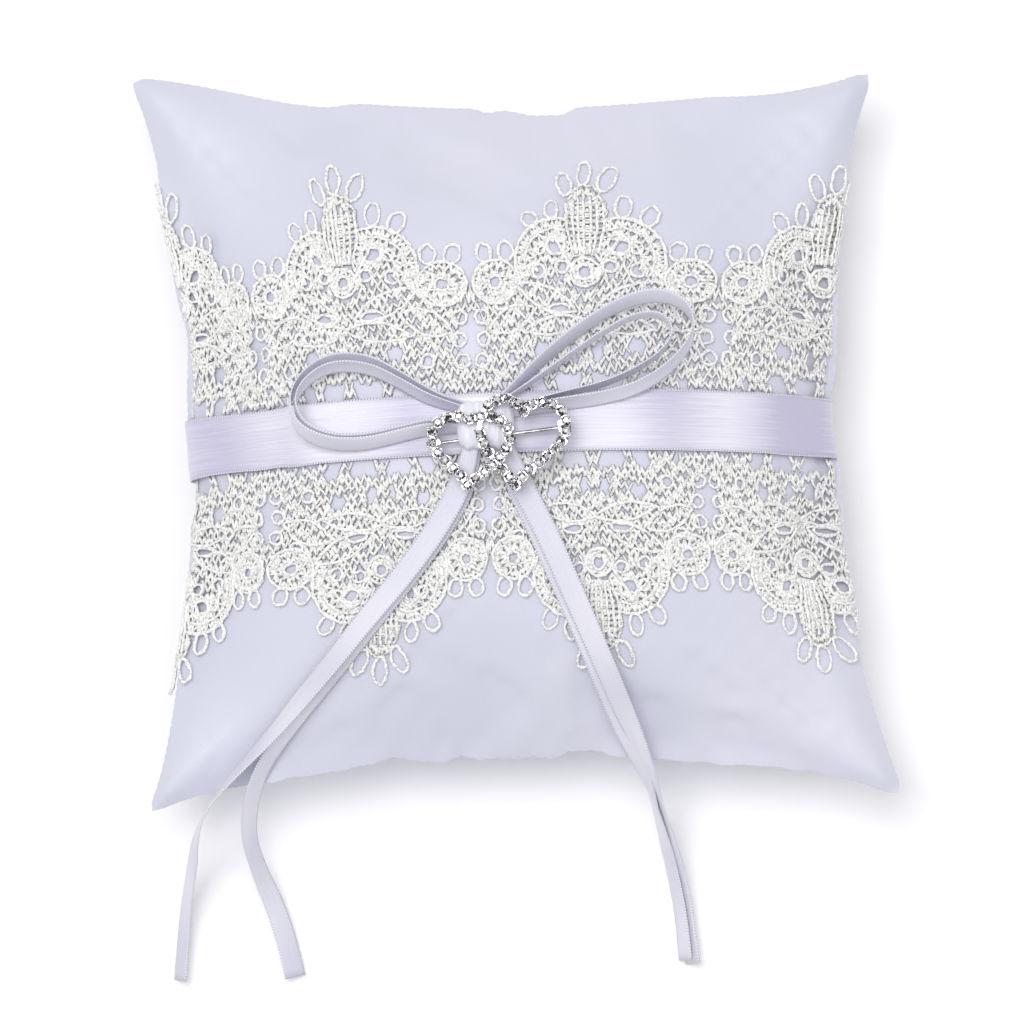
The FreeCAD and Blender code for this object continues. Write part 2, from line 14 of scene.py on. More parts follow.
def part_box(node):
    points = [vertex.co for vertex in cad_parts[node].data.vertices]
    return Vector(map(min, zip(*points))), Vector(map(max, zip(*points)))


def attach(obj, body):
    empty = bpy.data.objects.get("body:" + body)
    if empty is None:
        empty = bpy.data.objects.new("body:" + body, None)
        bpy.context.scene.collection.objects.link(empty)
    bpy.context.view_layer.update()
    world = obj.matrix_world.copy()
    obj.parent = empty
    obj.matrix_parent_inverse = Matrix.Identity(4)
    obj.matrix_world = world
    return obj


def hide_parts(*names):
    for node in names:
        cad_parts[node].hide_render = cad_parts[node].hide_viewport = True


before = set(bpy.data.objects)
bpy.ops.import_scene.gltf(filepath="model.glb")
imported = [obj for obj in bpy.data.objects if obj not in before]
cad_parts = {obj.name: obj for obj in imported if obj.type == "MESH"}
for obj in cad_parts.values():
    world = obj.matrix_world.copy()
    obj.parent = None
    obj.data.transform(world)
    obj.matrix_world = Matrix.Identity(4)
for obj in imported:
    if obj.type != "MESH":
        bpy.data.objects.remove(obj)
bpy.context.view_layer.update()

MM = 0.001
bpy.ops.object.select_all(action="DESELECT")
print("pieces in the frame:", len(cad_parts))

# %% [markdown]
# The camera looks down on the pillow from a little in front of it. A long lens keeps the
# square outline nearly parallel. The small roll sets the pillow slightly askew in the
# picture, as it was laid on the table.

# %% Camera
PILLOW_MIDDLE = Vector((0, 0, 33 * MM))
CAMERA_DISTANCE = 1.0
elevation, roll = math.radians(82.5), math.radians(1.9)
level_right, level_up = Vector((1, 0, 0)), Vector((0, math.sin(elevation), math.cos(elevation)))
view_right = level_right * math.cos(roll) - level_up * math.sin(roll)
view_up = level_right * math.sin(roll) + level_up * math.cos(roll)
toward_camera = Vector((0, -math.cos(elevation), math.sin(elevation)))
aim = PILLOW_MIDDLE - view_right * 0.8 * MM - view_up * 18.6 * MM

camera_data = bpy.data.cameras.new("camera")
camera_data.sensor_width, camera_data.lens = 36.0, 130.6
camera = bpy.data.objects.new("camera", camera_data)
bpy.context.collection.objects.link(camera)
camera.location = PILLOW_MIDDLE + toward_camera * CAMERA_DISTANCE
backward = (camera.location - aim).normalized()
sideways = (view_right - backward * view_right.dot(backward)).normalized()
upward = backward.cross(sideways)
camera.rotation_euler = Matrix((sideways, upward, backward)).transposed().to_euler()
bpy.context.scene.camera = camera
print("camera height in metres:", round(camera.location.z, 3))

# %% [markdown]
# A ribbon is a thin strip, so one helper lays a strip of quads along any line. It takes a
# width direction for each point, which is how a twist or a lean is made. The strip keeps its
# own UV map in millimetres: U runs across the ribbon and V along it, for the weave.

# %% Ribbon strips
def mesh_piece(name, points, faces, uv=None):
    """A new mesh object at the origin, with smooth faces and an optional UV for each vertex."""
    mesh = bpy.data.meshes.new(name)
    mesh.from_pydata([tuple(p) for p in points], [], faces)
    mesh.validate()
    if uv is not None:
        layer = mesh.uv_layers.new(name="weave")
        corner = np.zeros(len(mesh.loops), int)
        mesh.loops.foreach_get("vertex_index", corner)
        layer.data.foreach_set("uv", np.asarray(uv, float)[corner].ravel())
    mesh.polygons.foreach_set("use_smooth", [True] * len(mesh.polygons))
    piece = bpy.data.objects.new(name, mesh)
    bpy.context.collection.objects.link(piece)
    return piece


def select_only(piece):
    bpy.ops.object.select_all(action="DESELECT")
    bpy.context.view_layer.objects.active = piece
    piece.select_set(True)


def apply_modifier(piece, kind, **settings):
    """Add a modifier, set it and apply it, as the Apply button does."""
    modifier = piece.modifiers.new(kind.title(), kind)
    for setting, value in settings.items():
        setattr(modifier, setting, value)
    select_only(piece)
    bpy.ops.object.modifier_apply(modifier=modifier.name)
    piece.select_set(False)


def run_lengths(line):
    """The length of the line up to each of its points."""
    steps = np.linalg.norm(np.diff(line, axis=0), axis=1)
    return np.concatenate([[0.0], np.cumsum(steps)])


def unit(vectors):
    return vectors / np.maximum(np.linalg.norm(vectors, axis=-1, keepdims=True), 1e-12)


RIBBON_COLUMNS = 9
RIBBON_THICKNESS = 0.3 * MM


def strip_faces(rows):
    """The quads of a strip that has RIBBON_COLUMNS points in each of its rows."""
    firsts = [i * RIBBON_COLUMNS + j for i in range(rows - 1) for j in range(RIBBON_COLUMNS - 1)]
    return [(a, a + RIBBON_COLUMNS, a + RIBBON_COLUMNS + 1, a + 1) for a in firsts]


def ribbon(name, line, across, width, bow=0.0):
    """A ribbon along the line; bow is how far its middle stands out of its edges' plane."""
    rows, share = len(line), np.linspace(-1, 1, RIBBON_COLUMNS)
    forward = np.gradient(line, axis=0)
    outward = unit(np.cross(forward, across))
    half = np.broadcast_to(np.asarray(width, float), (rows,)) / 2
    points = (line[:, None] + across[:, None] * (share[None, :, None] * half[:, None, None])
              + outward[:, None] * (bow * (1 - share ** 2))[None, :, None])
    along = run_lengths(line) / MM
    uv = np.stack(np.broadcast_arrays(share[None] * half[:, None] / MM, along[:, None]), -1)
    piece = mesh_piece(name, points.reshape(-1, 3), strip_faces(rows), uv.reshape(-1, 2))
    apply_modifier(piece, "SOLIDIFY", thickness=RIBBON_THICKNESS, offset=0.0)
    return piece


print("ribbon thickness in mm:", RIBBON_THICKNESS / MM)

# %% [markdown]
# The four tails are 6 mm satin ribbon: limp, flat on the pillow, turning on edge where they
# leave it. Each follows a NURBS line along a route in millimetres, which keeps within 4 mm of
# its solid's route, and a short table gives its twist at places down the pillow.

# %% Ribbon tails
RIBBON_WIDTH = 6 * MM
TAILS = {
    "left_outer_tail": {"length": 183 * MM, "route": [
        (-10.5, -5, 73.4), (-13, -15, 72.9), (-21, -28, 70.8), (-30, -39, 67.4),
        (-39.5, -49, 63.0), (-49, -59.5, 57.4), (-58, -69, 51.8), (-66.5, -78, 46.6),
        (-75, -86, 42.6), (-83, -94, 37.6), (-88, -102, 28.0), (-91, -112, 16.0),
        (-93.5, -122, 7.0), (-95, -132, 3.6), (-96, -142, 3.0)],
        "twist": [(-5, 0), (-40, 15), (-70, 38), (-84, 62), (-97, 84), (-108, 58), (-142, 54)]},
    "left_inner_tail": {"length": 178 * MM, "route": [
        (-10, -5, 72.0), (-12, -15, 71.5), (-20, -28, 69.4), (-29, -39, 65.9),
        (-38, -49, 61.4), (-47, -59.5, 55.8), (-55.5, -69, 50.2), (-63, -77.5, 44.8),
        (-69.5, -86, 39.8), (-73.5, -95, 32.4), (-75, -104, 21.4), (-73, -113, 11.8),
        (-69.5, -122, 5.8), (-66.5, -132, 3.4), (-64.5, -142, 2.9)],
        "twist": [(-5, 0), (-40, -12), (-66, -40), (-84, -56), (-108, -52), (-122, -34),
                  (-142, -26)]},
    "right_front_tail": {"length": 166 * MM, "route": [
        (-2.5, -5, 73.4), (1, -15, 73.1), (7, -27, 71.7), (12, -39, 69.0), (17, -51, 64.6),
        (22, -63, 58.4), (26.5, -74, 50.5), (31, -84, 42.3), (34.5, -93, 31.9),
        (37.5, -101.5, 20.2), (40, -110.5, 10.4), (42, -120, 5.4), (43.5, -130, 3.6),
        (44.5, -142, 3.2)],
        "twist": [(-5, 0), (-40, 12), (-74, 32), (-90, 66), (-98, 84), (-112, 60), (-142, 52)]},
    "right_rear_tail": {"length": 164 * MM, "route": [
        (-2.5, -5, 72.0), (0, -15, 71.7), (5.5, -27, 70.3), (10.5, -39, 67.4),
        (15.5, -51, 62.8), (20.5, -63, 56.4), (25, -74, 48.4), (29.5, -84, 39.9),
        (33, -93, 29.2), (36, -101.5, 17.7), (38.5, -110.5, 8.4), (40.5, -120, 4.4),
        (42, -130, 3.4), (42.6, -141, 3.2)],
        "twist": [(-5, 0), (-78, 10), (-90, 60), (-98, 84), (-110, 66), (-142, 58)]},
}


def smooth_line(route):
    """The NURBS line, in metres, that has the route's points as its control points."""
    curve = bpy.data.curves.new("route", "CURVE")
    curve.dimensions = "3D"
    spline = curve.splines.new("NURBS")
    spline.points.add(len(route) - 1)
    for point, place in zip(spline.points, route):
        point.co = (*[c * MM for c in place], 1)
    spline.order_u, spline.use_endpoint_u, spline.resolution_u = 3, True, 8
    holder = bpy.data.objects.new("route", curve)
    bpy.context.collection.objects.link(holder)
    mesh = bpy.data.meshes.new_from_object(holder)
    line = np.array([v.co[:] for v in mesh.vertices])
    bpy.data.objects.remove(holder)
    return line


def level_across(line):
    """The level direction square to the line at each of its points."""
    forward = np.gradient(line, axis=0)
    return unit(np.stack([-forward[:, 1], forward[:, 0], 0 * forward[:, 0]], -1))


def turned(vectors, axes, degrees):
    """Each vector turned about its own axis."""
    angle = np.radians(degrees)[:, None]
    axes = unit(axes)
    return (vectors * np.cos(angle) + np.cross(axes, vectors) * np.sin(angle)
            + axes * (vectors * axes).sum(1, keepdims=True) * (1 - np.cos(angle)))


tails = {}
for name, tail in TAILS.items():
    line = smooth_line(tail["route"])
    down, degrees = zip(*tail["twist"])
    twist = np.interp(-line[:, 1], [-d * MM for d in down], degrees)
    across = turned(level_across(line), np.gradient(line, axis=0), twist)
    gather = np.interp(run_lengths(line), [0, 12 * MM], [0.62, 1.0])
    piece = ribbon(name + "_ribbon", line, across, RIBBON_WIDTH * gather, bow=0.25 * MM)
    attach(piece, "root")
    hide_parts(name)
    tails[name] = piece
    print(name, "length in mm:", round(run_lengths(line)[-1] / MM, 1))

# %% [markdown]
# Materials come next. Colours are written as sRGB hex, as a paint chart gives them, and one
# function turns them into the linear values that the shader needs. A second small function
# adds a node with its settings and its links.

# %% Material helpers
def colour(code):
    """An sRGB hex colour as linear red, green, blue and alpha."""
    shares = [int(code[i:i + 2], 16) / 255 for i in (1, 3, 5)]
    return [s / 12.92 if s <= 0.04045 else ((s + 0.055) / 1.055) ** 2.4 for s in shares] + [1.0]


def add_node(tree, kind, inputs=None, **settings):
    """Add one node. An input is a value, or another node's output to link from."""
    node = tree.nodes.new("ShaderNode" + kind)
    for setting, value in settings.items():
        setattr(node, setting, value)
    for socket, value in (inputs or {}).items():
        if isinstance(value, bpy.types.NodeSocket):
            tree.links.new(value, node.inputs[socket])
        else:
            node.inputs[socket].default_value = value
    return node


def new_material(name, **sockets):
    """A material with its Principled shader's sockets set; names use _ for a space."""
    material = bpy.data.materials.new(name)
    material.use_nodes = True
    shader = material.node_tree.nodes["Principled BSDF"]
    for socket, value in sockets.items():
        shader.inputs[socket.replace("_", " ")].default_value = value
    return material, material.node_tree, shader


def ramp(tree, factor, stops):
    """A colour ramp node over (place, hex colour) stops."""
    node = add_node(tree, "ValToRGB", {"Fac": factor})
    while len(node.color_ramp.elements) < len(stops):
        node.color_ramp.elements.new(0.5)
    for element, (place, code) in zip(node.color_ramp.elements, stops):
        element.position, element.color = place, colour(code)
    return node.outputs["Color"]


def tint(tree, shader, factor, stops):
    """Let a colour ramp over the factor drive the base colour."""
    tree.links.new(ramp(tree, factor, stops), shader.inputs["Base Color"])


def emboss(tree, shader, height, strength, distance):
    """Let the height drive a bump; the distance is in metres."""
    bump = add_node(tree, "Bump", {"Height": height, "Strength": strength,
                                   "Distance": distance})
    tree.links.new(bump.outputs["Normal"], shader.inputs["Normal"])


def paint(piece, material):
    piece.data.materials.clear()
    piece.data.materials.append(material)


print("white satin, linear:", [round(c, 3) for c in colour("#E6E6F4")[:3]])

# %% [markdown]
# Satin ribbon is woven polyester: long floats along its length shine in soft streaks, and a
# tight woven edge, the selvedge, runs down each side. The streaks are painted sheen: noise
# stretched along V moves the colour between a shade and a light tone. The selvedge is a fine
# serrated line, drawn about twice as coarse as real so it shows.

# %% Satin ribbon finish
def ribbon_satin(name, light, shade, edge_light, edge_dark, half_width, roughness):
    """Woven satin ribbon; its selvedges lie half_width millimetres from its middle."""
    material, tree, shader = new_material(
        name, Roughness=roughness, Sheen_Weight=0.25, Sheen_Roughness=0.4,
        Specular_IOR_Level=0.5)
    uv = add_node(tree, "UVMap", uv_map="weave").outputs["UV"]
    parts = add_node(tree, "SeparateXYZ", {"Vector": uv})
    stretched = add_node(tree, "Mapping", {"Vector": uv, "Scale": (2.2, 0.035, 1.0)})
    painted_sheen_streaks = add_node(tree, "TexNoise", {"Vector": stretched.outputs["Vector"], "Scale": 1.4,
                                          "Detail": 3.0, "Roughness": 0.6})
    # painted sheen, which comes and goes along the ribbon every 30 mm or so
    slow = add_node(tree, "Mapping", {"Vector": uv, "Scale": (0.01, 0.03, 1.0)})
    painted_sheen_patches = add_node(tree, "TexNoise", {"Vector": slow.outputs["Vector"], "Scale": 1.0,
                                          "Detail": 0.0})
    both = add_node(tree, "Math", {0: painted_sheen_streaks.outputs["Fac"], 1: 0.35,
                                   2: painted_sheen_patches.outputs["Fac"]}, operation="MULTIPLY_ADD")
    # the streaks and patches move the colour between shade and light: painted sheen
    tone = ramp(tree, both.outputs[0], [(0.52, shade), (0.8, light)])
    # the distance from the middle, and a mask that is 1 on the last third of a millimetre
    away = add_node(tree, "Math", {0: parts.outputs["X"]}, operation="ABSOLUTE")
    edge = add_node(tree, "MapRange", {"Value": away.outputs[0], "From Min": half_width - 0.5,
                                       "From Max": half_width - 0.3})
    teeth = add_node(tree, "Math", {0: parts.outputs["Y"], 1: 7.5}, operation="MULTIPLY")
    wave = add_node(tree, "Math", {0: teeth.outputs[0]}, operation="SINE")
    serration = add_node(tree, "Math", {0: wave.outputs[0], 1: edge.outputs["Result"]},
                         operation="MULTIPLY")
    edge_tone = add_node(tree, "MapRange", {"Value": serration.outputs[0], "From Min": -1.0,
                                            "From Max": 1.0, "To Min": 0.0, "To Max": 1.0})
    mixed = add_node(tree, "Mix", {0: edge.outputs["Result"], 6: tone,
                                   7: ramp(tree, edge_tone.outputs["Result"],
                                           [(0.2, edge_dark), (0.8, edge_light)])},
                     data_type="RGBA")
    tree.links.new(mixed.outputs[2], shader.inputs["Base Color"])
    threads = add_node(tree, "Math", {0: parts.outputs["X"], 1: 14.0}, operation="MULTIPLY")
    rib = add_node(tree, "Math", {0: threads.outputs[0]}, operation="SINE")
    height = add_node(tree, "Math", {0: rib.outputs[0], 1: 0.25, 2: serration.outputs[0]},
                      operation="MULTIPLY_ADD")
    emboss(tree, shader, height.outputs[0], 0.35, 0.0002)
    return material


# each ribbon's shade and light tones are the ends of its painted sheen; the belt's range is the
# wider
bow_satin = ribbon_satin("polyester satin ribbon, 6 mm", "#E6E5EE", "#D4D3E1",
                         "#F2F2F8", "#CECEDC", half_width=3.0, roughness=0.38)
belt_satin = ribbon_satin("polyester satin ribbon, 16 mm", "#F2F0F9", "#C6C2D8",
                          "#F4F3FA", "#C8C5DA", half_width=8.0, roughness=0.3)
for piece in tails.values():
    paint(piece, bow_satin)
print("ribbon finishes:", bow_satin.name, "and", belt_satin.name)

# %% [markdown]
# The cushion is two flat satin panels sewn round their edge and stuffed. A cloth simulation
# shows what stuffing does to such a cover: two flat grids that share a seam are blown up by
# pressure, and the cloth near the seam gathers into small folds. The size comes from the
# frame, so only the folds are kept: a smooth surface is fitted to the simulated one and
# taken away, and what is left is added to the pillow's true shape.

# %% Stuffed shape, from the frame's sizes
HALF_X, HALF_Y, SEAM_LEVEL = 100 * MM, 97 * MM, 33 * MM
PULL_X, PULL_Y, RISE, CROWN_POWER = 0.135, 0.10825, 37 * MM, 2.5
REST_LEVEL, REST_SOFTNESS = 1.2 * MM, 1.2 * MM
CORNER = 0.06  # the share of a side that a corner's rounding takes
EAR_X, EAR_Y = 0.022, 0.012  # how far the corners stick out, as shares of the half sides


def smooth_step(value, low, high):
    share = np.clip((value - low) / (high - low), 0, 1)
    return share * share * (3 - 2 * share)


def rounded_corner(u, v):
    """Push the square's corners in to round ones, leaving the rest where it is."""
    a = np.clip((np.abs(u) - 1 + CORNER) / CORNER, 0, 1)
    b = np.clip((np.abs(v) - 1 + CORNER) / CORNER, 0, 1)
    return (u - np.sign(u) * CORNER * a * (1 - np.sqrt(1 - b * b / 2)),
            v - np.sign(v) * CORNER * b * (1 - np.sqrt(1 - a * a / 2)))


def pillow_shape(u, v, side):
    """The stuffed cover's smooth shape; side is 1 for the front and -1 for the back."""
    ear = np.abs(u * v)
    hump = (1 - np.abs(u) ** CROWN_POWER) * (1 - np.abs(v) ** CROWN_POWER)
    hump = hump ** (1 - 0.35 * smooth_step(ear, 0.55, 0.95))  # the corners are well stuffed
    u, v = rounded_corner(u, v)
    x = HALF_X * u * (1 - PULL_X * (1 - v ** 2))
    y = HALF_Y * v * (1 - PULL_Y * (1 - u ** 2))
    # no real pillow is quite square: its top edge runs up to the left, its bottom edge is
    # drawn in between the corners, and the corners stick out like small ears
    y = y + (3.9 - 3.1 * u) * MM * np.maximum(v, 0) ** 4
    y = y + (2.2 - u - 3.2 * u ** 4) * MM * np.maximum(-v, 0) ** 4
    x, y = x * (1 + EAR_X * ear ** 8), y * (1 + EAR_Y * ear ** 8)
    z = SEAM_LEVEL + side * RISE * hump
    if side < 0:  # the weight flattens it where it lies
        z = REST_LEVEL + REST_SOFTNESS * np.logaddexp(0, (z - REST_LEVEL) / REST_SOFTNESS)
    return np.stack([x, y, z], -1)


GRID = 49  # simulated points along each side
grid_u, grid_v = np.meshgrid(np.linspace(-1, 1, GRID), np.linspace(-1, 1, GRID), indexing="ij")
front_grid, back_grid = (pillow_shape(grid_u, grid_v, side) for side in (1, -1))
print("crown height in mm:", round(front_grid[..., 2].max() / MM, 1))

# %% [markdown]
# The two grids become one closed mesh, because the panels share their seam. The simulation
# runs on a flat copy of it. Only its folds are added to the shape: they are scaled by
# FOLD_SHARE, held to FOLD_CAP, and strongest near the seam.

# %% Cover folds, from a cloth simulation
def outer_line(n):
    """A mask of the outermost points of an n by n grid."""
    rim = np.ones((n, n), bool)
    rim[1:-1, 1:-1] = False
    return rim


def cover_mesh(name, front, back):
    """One closed mesh from a front and a back grid that share their outer line."""
    n = len(front)
    index = np.arange(n * n).reshape(n, n)
    back_index = index + n * n
    rim = outer_line(n)
    back_index[rim] = index[rim]
    used = np.concatenate([np.ones(n * n, bool), ~rim.ravel()])
    renumber = np.cumsum(used) - 1
    faces = []
    for grid, flip in ((index, False), (back_index, True)):
        for i in range(n - 1):
            for j in range(n - 1):
                face = [grid[i, j], grid[i + 1, j], grid[i + 1, j + 1], grid[i, j + 1]]
                faces.append([int(renumber[k]) for k in (face[::-1] if flip else face)])
    points = np.concatenate([front.reshape(-1, 3), back.reshape(-1, 3)])[used]
    return mesh_piece(name, points, faces), renumber[index], renumber[back_index]


def simulated_folds():
    """How a blown-up cover differs from its own smooth shape: front and back, in metres."""
    flat_x, flat_y = 108 * MM, 105 * MM
    loft = 4 * MM * (1 - grid_u ** 2) * (1 - grid_v ** 2)
    sheets = [np.stack([flat_x * grid_u, flat_y * grid_v, side * loft], -1) for side in (1, -1)]
    cover, front_index, back_index = cover_mesh("blown_cover", *sheets)
    modifier = cover.modifiers.new("Cloth", "CLOTH")
    cloth = modifier.settings
    cloth.quality, cloth.mass = 6, 0.15
    cloth.tension_stiffness = cloth.compression_stiffness = 12.0
    cloth.shear_stiffness, cloth.bending_stiffness = 5.0, 0.02
    cloth.use_pressure, cloth.uniform_pressure_force = True, 4.0
    cloth.effector_weights.gravity = 0.0
    modifier.collision_settings.use_collision = False
    scene = bpy.context.scene
    for step in range(1, 21):
        scene.frame_set(step)
    blown = cover.evaluated_get(bpy.context.evaluated_depsgraph_get()).to_mesh()
    points = np.zeros(len(blown.vertices) * 3)
    blown.vertices.foreach_get("co", points)
    points = points.reshape(-1, 3)
    cover.evaluated_get(bpy.context.evaluated_depsgraph_get()).to_mesh_clear()
    scene.frame_set(1)
    bpy.data.objects.remove(cover)
    terms = [grid_u ** a * grid_v ** b for a in range(7) for b in range(7)]
    basis = np.stack(terms, -1).reshape(GRID * GRID, -1)
    folds = []
    for index in (front_index, back_index):
        sheet = points[index.ravel()]
        smooth = basis @ np.linalg.lstsq(basis, sheet, rcond=None)[0]
        folds.append((sheet - smooth).reshape(GRID, GRID, 3))
    print("blown size in mm:", [round(v / MM, 1) for v in np.ptp(points, axis=0)])
    return folds


FOLD_CAP, FOLD_SHARE = 1.4 * MM, 0.7  # the deepest fold kept, and the share of each one
for target, fold in zip((front_grid, back_grid), simulated_folds()):
    deep = np.linalg.norm(fold, axis=-1, keepdims=True)
    near_seam = smooth_step(np.maximum(np.abs(grid_u), np.abs(grid_v)), 0.35, 0.9)
    kept = FOLD_SHARE * (0.25 + 0.75 * near_seam)[..., None]
    target += fold * kept * np.minimum(1.0, FOLD_CAP / np.maximum(deep, 1e-9))
    print("deepest fold in mm:", round(float(deep.max()) / MM, 2))
rim = outer_line(GRID)
back_grid[rim] = front_grid[rim]
back_grid[..., 2] = np.maximum(back_grid[..., 2], REST_LEVEL)

# %% [markdown]
# The grid is then refined with a smooth curve through its points, and the bottom edge gets
# the small puckers of the turning gap, which was closed by hand.

# %% Refined cover
FINE = 145


def refined(grid):
    """The grid on three times as many cells, by Catmull-Rom curves along each direction."""
    def along(values):
        place = np.linspace(0, len(values) - 1, FINE)
        start = np.minimum(place.astype(int), len(values) - 2)
        t = (place - start)[:, None, None]
        padded = np.concatenate([2 * values[:1] - values[1:2], values,
                                 2 * values[-1:] - values[-2:-1]])
        a, b, c, d = (padded[start + k] for k in range(4))
        return 0.5 * (2 * b + (c - a) * t + (2 * a - 5 * b + 4 * c - d) * t ** 2
                      + (3 * b - a - 3 * c + d) * t ** 3)
    return along(along(grid).transpose(1, 0, 2)).transpose(1, 0, 2)


front_fine, back_fine = refined(front_grid), refined(back_grid)
fine_u, fine_v = np.meshgrid(np.linspace(-1, 1, FINE), np.linspace(-1, 1, FINE), indexing="ij")
near_bottom = smooth_step(-fine_v, 0.86, 1.0)
pucker = (np.sin(fine_u * 68) + 0.6 * np.sin(fine_u * 41 + 1.3)) * (np.abs(fine_u) < 0.86)
for side, grid in ((1, front_fine), (-1, back_fine)):
    grid[..., 1] += 0.2 * MM * pucker * near_bottom ** 2
    grid[..., 2] += side * 0.4 * MM * pucker * near_bottom * (1 - near_bottom) * 2
rim = outer_line(FINE)
back_fine[rim] = front_fine[rim]
cover, _, _ = cover_mesh("pillow_cover", front_fine, back_fine)
select_only(cover)
bpy.ops.object.shade_smooth_by_angle(angle=math.radians(60))  # the seam stays a crease
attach(cover, "root")
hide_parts("front_panel", "back_panel")
print("cover faces:", len(cover.data.polygons))

# %% [markdown]
# Inside the cover is the stuffing: the same shape, drawn in by the thickness of the satin.

# %% Stuffing
middle = np.array([0, 0, SEAM_LEVEL])
FILL_INSET = 0.97
stuffing, _, _ = cover_mesh("stuffing", middle + (front_fine - middle) * FILL_INSET,
                            middle + (back_fine - middle) * FILL_INSET)
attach(stuffing, "root")
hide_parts("polyester_fill")

fibre, tree, shader = new_material("polyester fibre fill", Roughness=0.95, Sheen_Weight=0.3)
place = add_node(tree, "TexCoord").outputs["Object"]
# clumps of about 8 mm with fibres of about 1 mm on them
clumps = add_node(tree, "TexNoise", {"Vector": place, "Scale": 120.0, "Detail": 6.0})
tint(tree, shader, clumps.outputs["Fac"], [(0.3, "#E4E4E2"), (0.7, "#FAFAF8")])
emboss(tree, shader, clumps.outputs["Fac"], 0.6, 0.001)
paint(stuffing, fibre)
print("stuffing is", FILL_INSET, "of the cover's size")

# %% [markdown]
# Two threads hold the cover shut. A machine seam runs round it and ends at each side of the
# turning gap, and slanting hand stitches close the gap. Each stitch is a short six-sided
# thread that rises and dips again, and one helper sets them along the cover's outer line.

# %% Seam and closing stitches
STITCH_RADIUS = 0.13 * MM
outline = np.concatenate([front_fine[:-1, 0], front_fine[-1, :-1],
                          front_fine[:0:-1, -1], front_fine[0, :0:-1]])
outline = np.concatenate([outline, outline[:1]])
outline_run = run_lengths(outline)
bottom_run = run_lengths(front_fine[:, 0])[-1]
gap_start, gap_end = bottom_run * 0.31, bottom_run * 0.69


def stitches(name, starts, length, slant):
    """Short threads set along the outline; slant is how far each one leans over the edge."""
    points, faces = [], []
    for k, start in enumerate(starts):
        stops = (start + np.linspace(0, length, 5)) % outline_run[-1]
        line = np.stack([np.interp(stops, outline_run, outline[:, c]) for c in range(3)], -1)
        rise = np.linspace(-1, 1, 5)
        away = unit((line - middle) * [1, 1, 0])
        line = line + away * (STITCH_RADIUS * (0.9 - 1.2 * rise ** 2))[:, None]
        line[:, 2] += slant * rise
        across = unit(np.cross(np.gradient(line, axis=0), away))
        for i in range(5):
            for side in range(6):
                angle = side * math.pi / 3
                points.append(line[i] + STITCH_RADIUS * (across[i] * math.cos(angle)
                                                         + away[i] * math.sin(angle)))
        base = k * 30
        faces += [(base + 6 * i + j, base + 6 * i + (j + 1) % 6,
                   base + 6 * i + 6 + (j + 1) % 6, base + 6 * i + 6 + j)
                  for i in range(4) for j in range(6)]
        faces += [tuple(base + j for j in range(6))[::-1],
                  tuple(base + 24 + j for j in range(6))]
    piece = mesh_piece(name, points, faces)
    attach(piece, "root")
    return piece


seam_starts = [r for r in np.arange(0, outline_run[-1], 2.5 * MM)
               if not gap_start - 2 * MM < r < gap_end]
seam = stitches("machine_seam", seam_starts, 2.1 * MM, 0.0)
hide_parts("perimeter_seam_thread")
closing = stitches("hand_stitches", np.arange(gap_start, gap_end, 3.2 * MM), 2.6 * MM, 0.6 * MM)
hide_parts("closing_stitches")
print("machine stitches:", len(seam_starts))

# %% [markdown]
# Duchess satin is a dense polyester weave: smooth, cool white with a faint lavender cast,
# and a broad soft shine. Close up a fine diagonal grain shows. The real threads lie about
# 0.15 mm apart, and the grain here repeats every 0.9 mm, so that it shows at all.

# %% Pillow satin finish
satin, tree, shader = new_material("duchess satin, cool white", Roughness=0.42,
                                   Sheen_Weight=0.35, Sheen_Roughness=0.45)
place = add_node(tree, "TexCoord").outputs["Object"]
soft = add_node(tree, "TexNoise", {"Vector": place, "Scale": 14.0, "Detail": 2.0})
tint(tree, shader, soft.outputs["Fac"], [(0.35, "#D1D2E0"), (0.65, "#D8D8E5")])
grains = []
for slope in (0.7, -0.85):  # in radians: two sets of ridges that cross
    turned_place = add_node(tree, "Mapping", {"Vector": place, "Rotation": (0, 0, slope)})
    grains.append(add_node(tree, "TexWave", {"Vector": turned_place.outputs["Vector"],
                                             "Scale": 350.0, "Distortion": 0.6,
                                             "Detail": 1.0}).outputs["Fac"])
weave = add_node(tree, "Math", {0: grains[0], 1: grains[1]}, operation="ADD")
emboss(tree, shader, weave.outputs[0], 0.12, 0.0001)
paint(cover, satin)

thread_finish, tree, shader = new_material("polyester sewing thread", Roughness=0.6,
                                           Sheen_Weight=0.2)
place = add_node(tree, "TexCoord").outputs["Object"]
# painted light and shade along the thread's twist, about 0.5 mm long
twist = add_node(tree, "TexWave", {"Vector": place, "Scale": 600.0})
tint(tree, shader, twist.outputs["Fac"], [(0.0, "#CFCFDD"), (1.0, "#E4E4EE")])
for piece in (seam, closing):
    paint(piece, thread_finish)
print("satin finish:", satin.name)

# %% [markdown]
# The belt and the two lace trims are closed loops round the cushion. All three follow a
# carrier: a smooth sheet of points that lies on the cover and rounds its sharp side seams,
# as a stiffer fabric does. One turn round the pillow is 4 units: front 0 to 2, back 2 to 4.

# %% Carrier sheets
TURN_STEPS = 240


def sampled(grid, row, column):
    """Bilinear samples of a grid of points, at fractional rows and columns."""
    i = np.clip(row.astype(int), 0, grid.shape[0] - 2)
    j = np.clip(column.astype(int), 0, grid.shape[1] - 2)
    a, b = (row - i)[..., None], (column - j)[..., None]
    return ((grid[i, j] * (1 - b) + grid[i, j + 1] * b) * (1 - a)
            + (grid[i + 1, j] * (1 - b) + grid[i + 1, j + 1] * b) * a)


def surface_normals(sheet):
    """Outward unit normals of a carrier, closed along its first direction."""
    turnwise = np.roll(sheet, -1, 0) - np.roll(sheet, 1, 0)
    normal = unit(np.cross(turnwise, np.gradient(sheet, axis=1)))
    inside = ((sheet - middle) * normal).sum(-1).mean() < 0
    return -normal if inside else normal


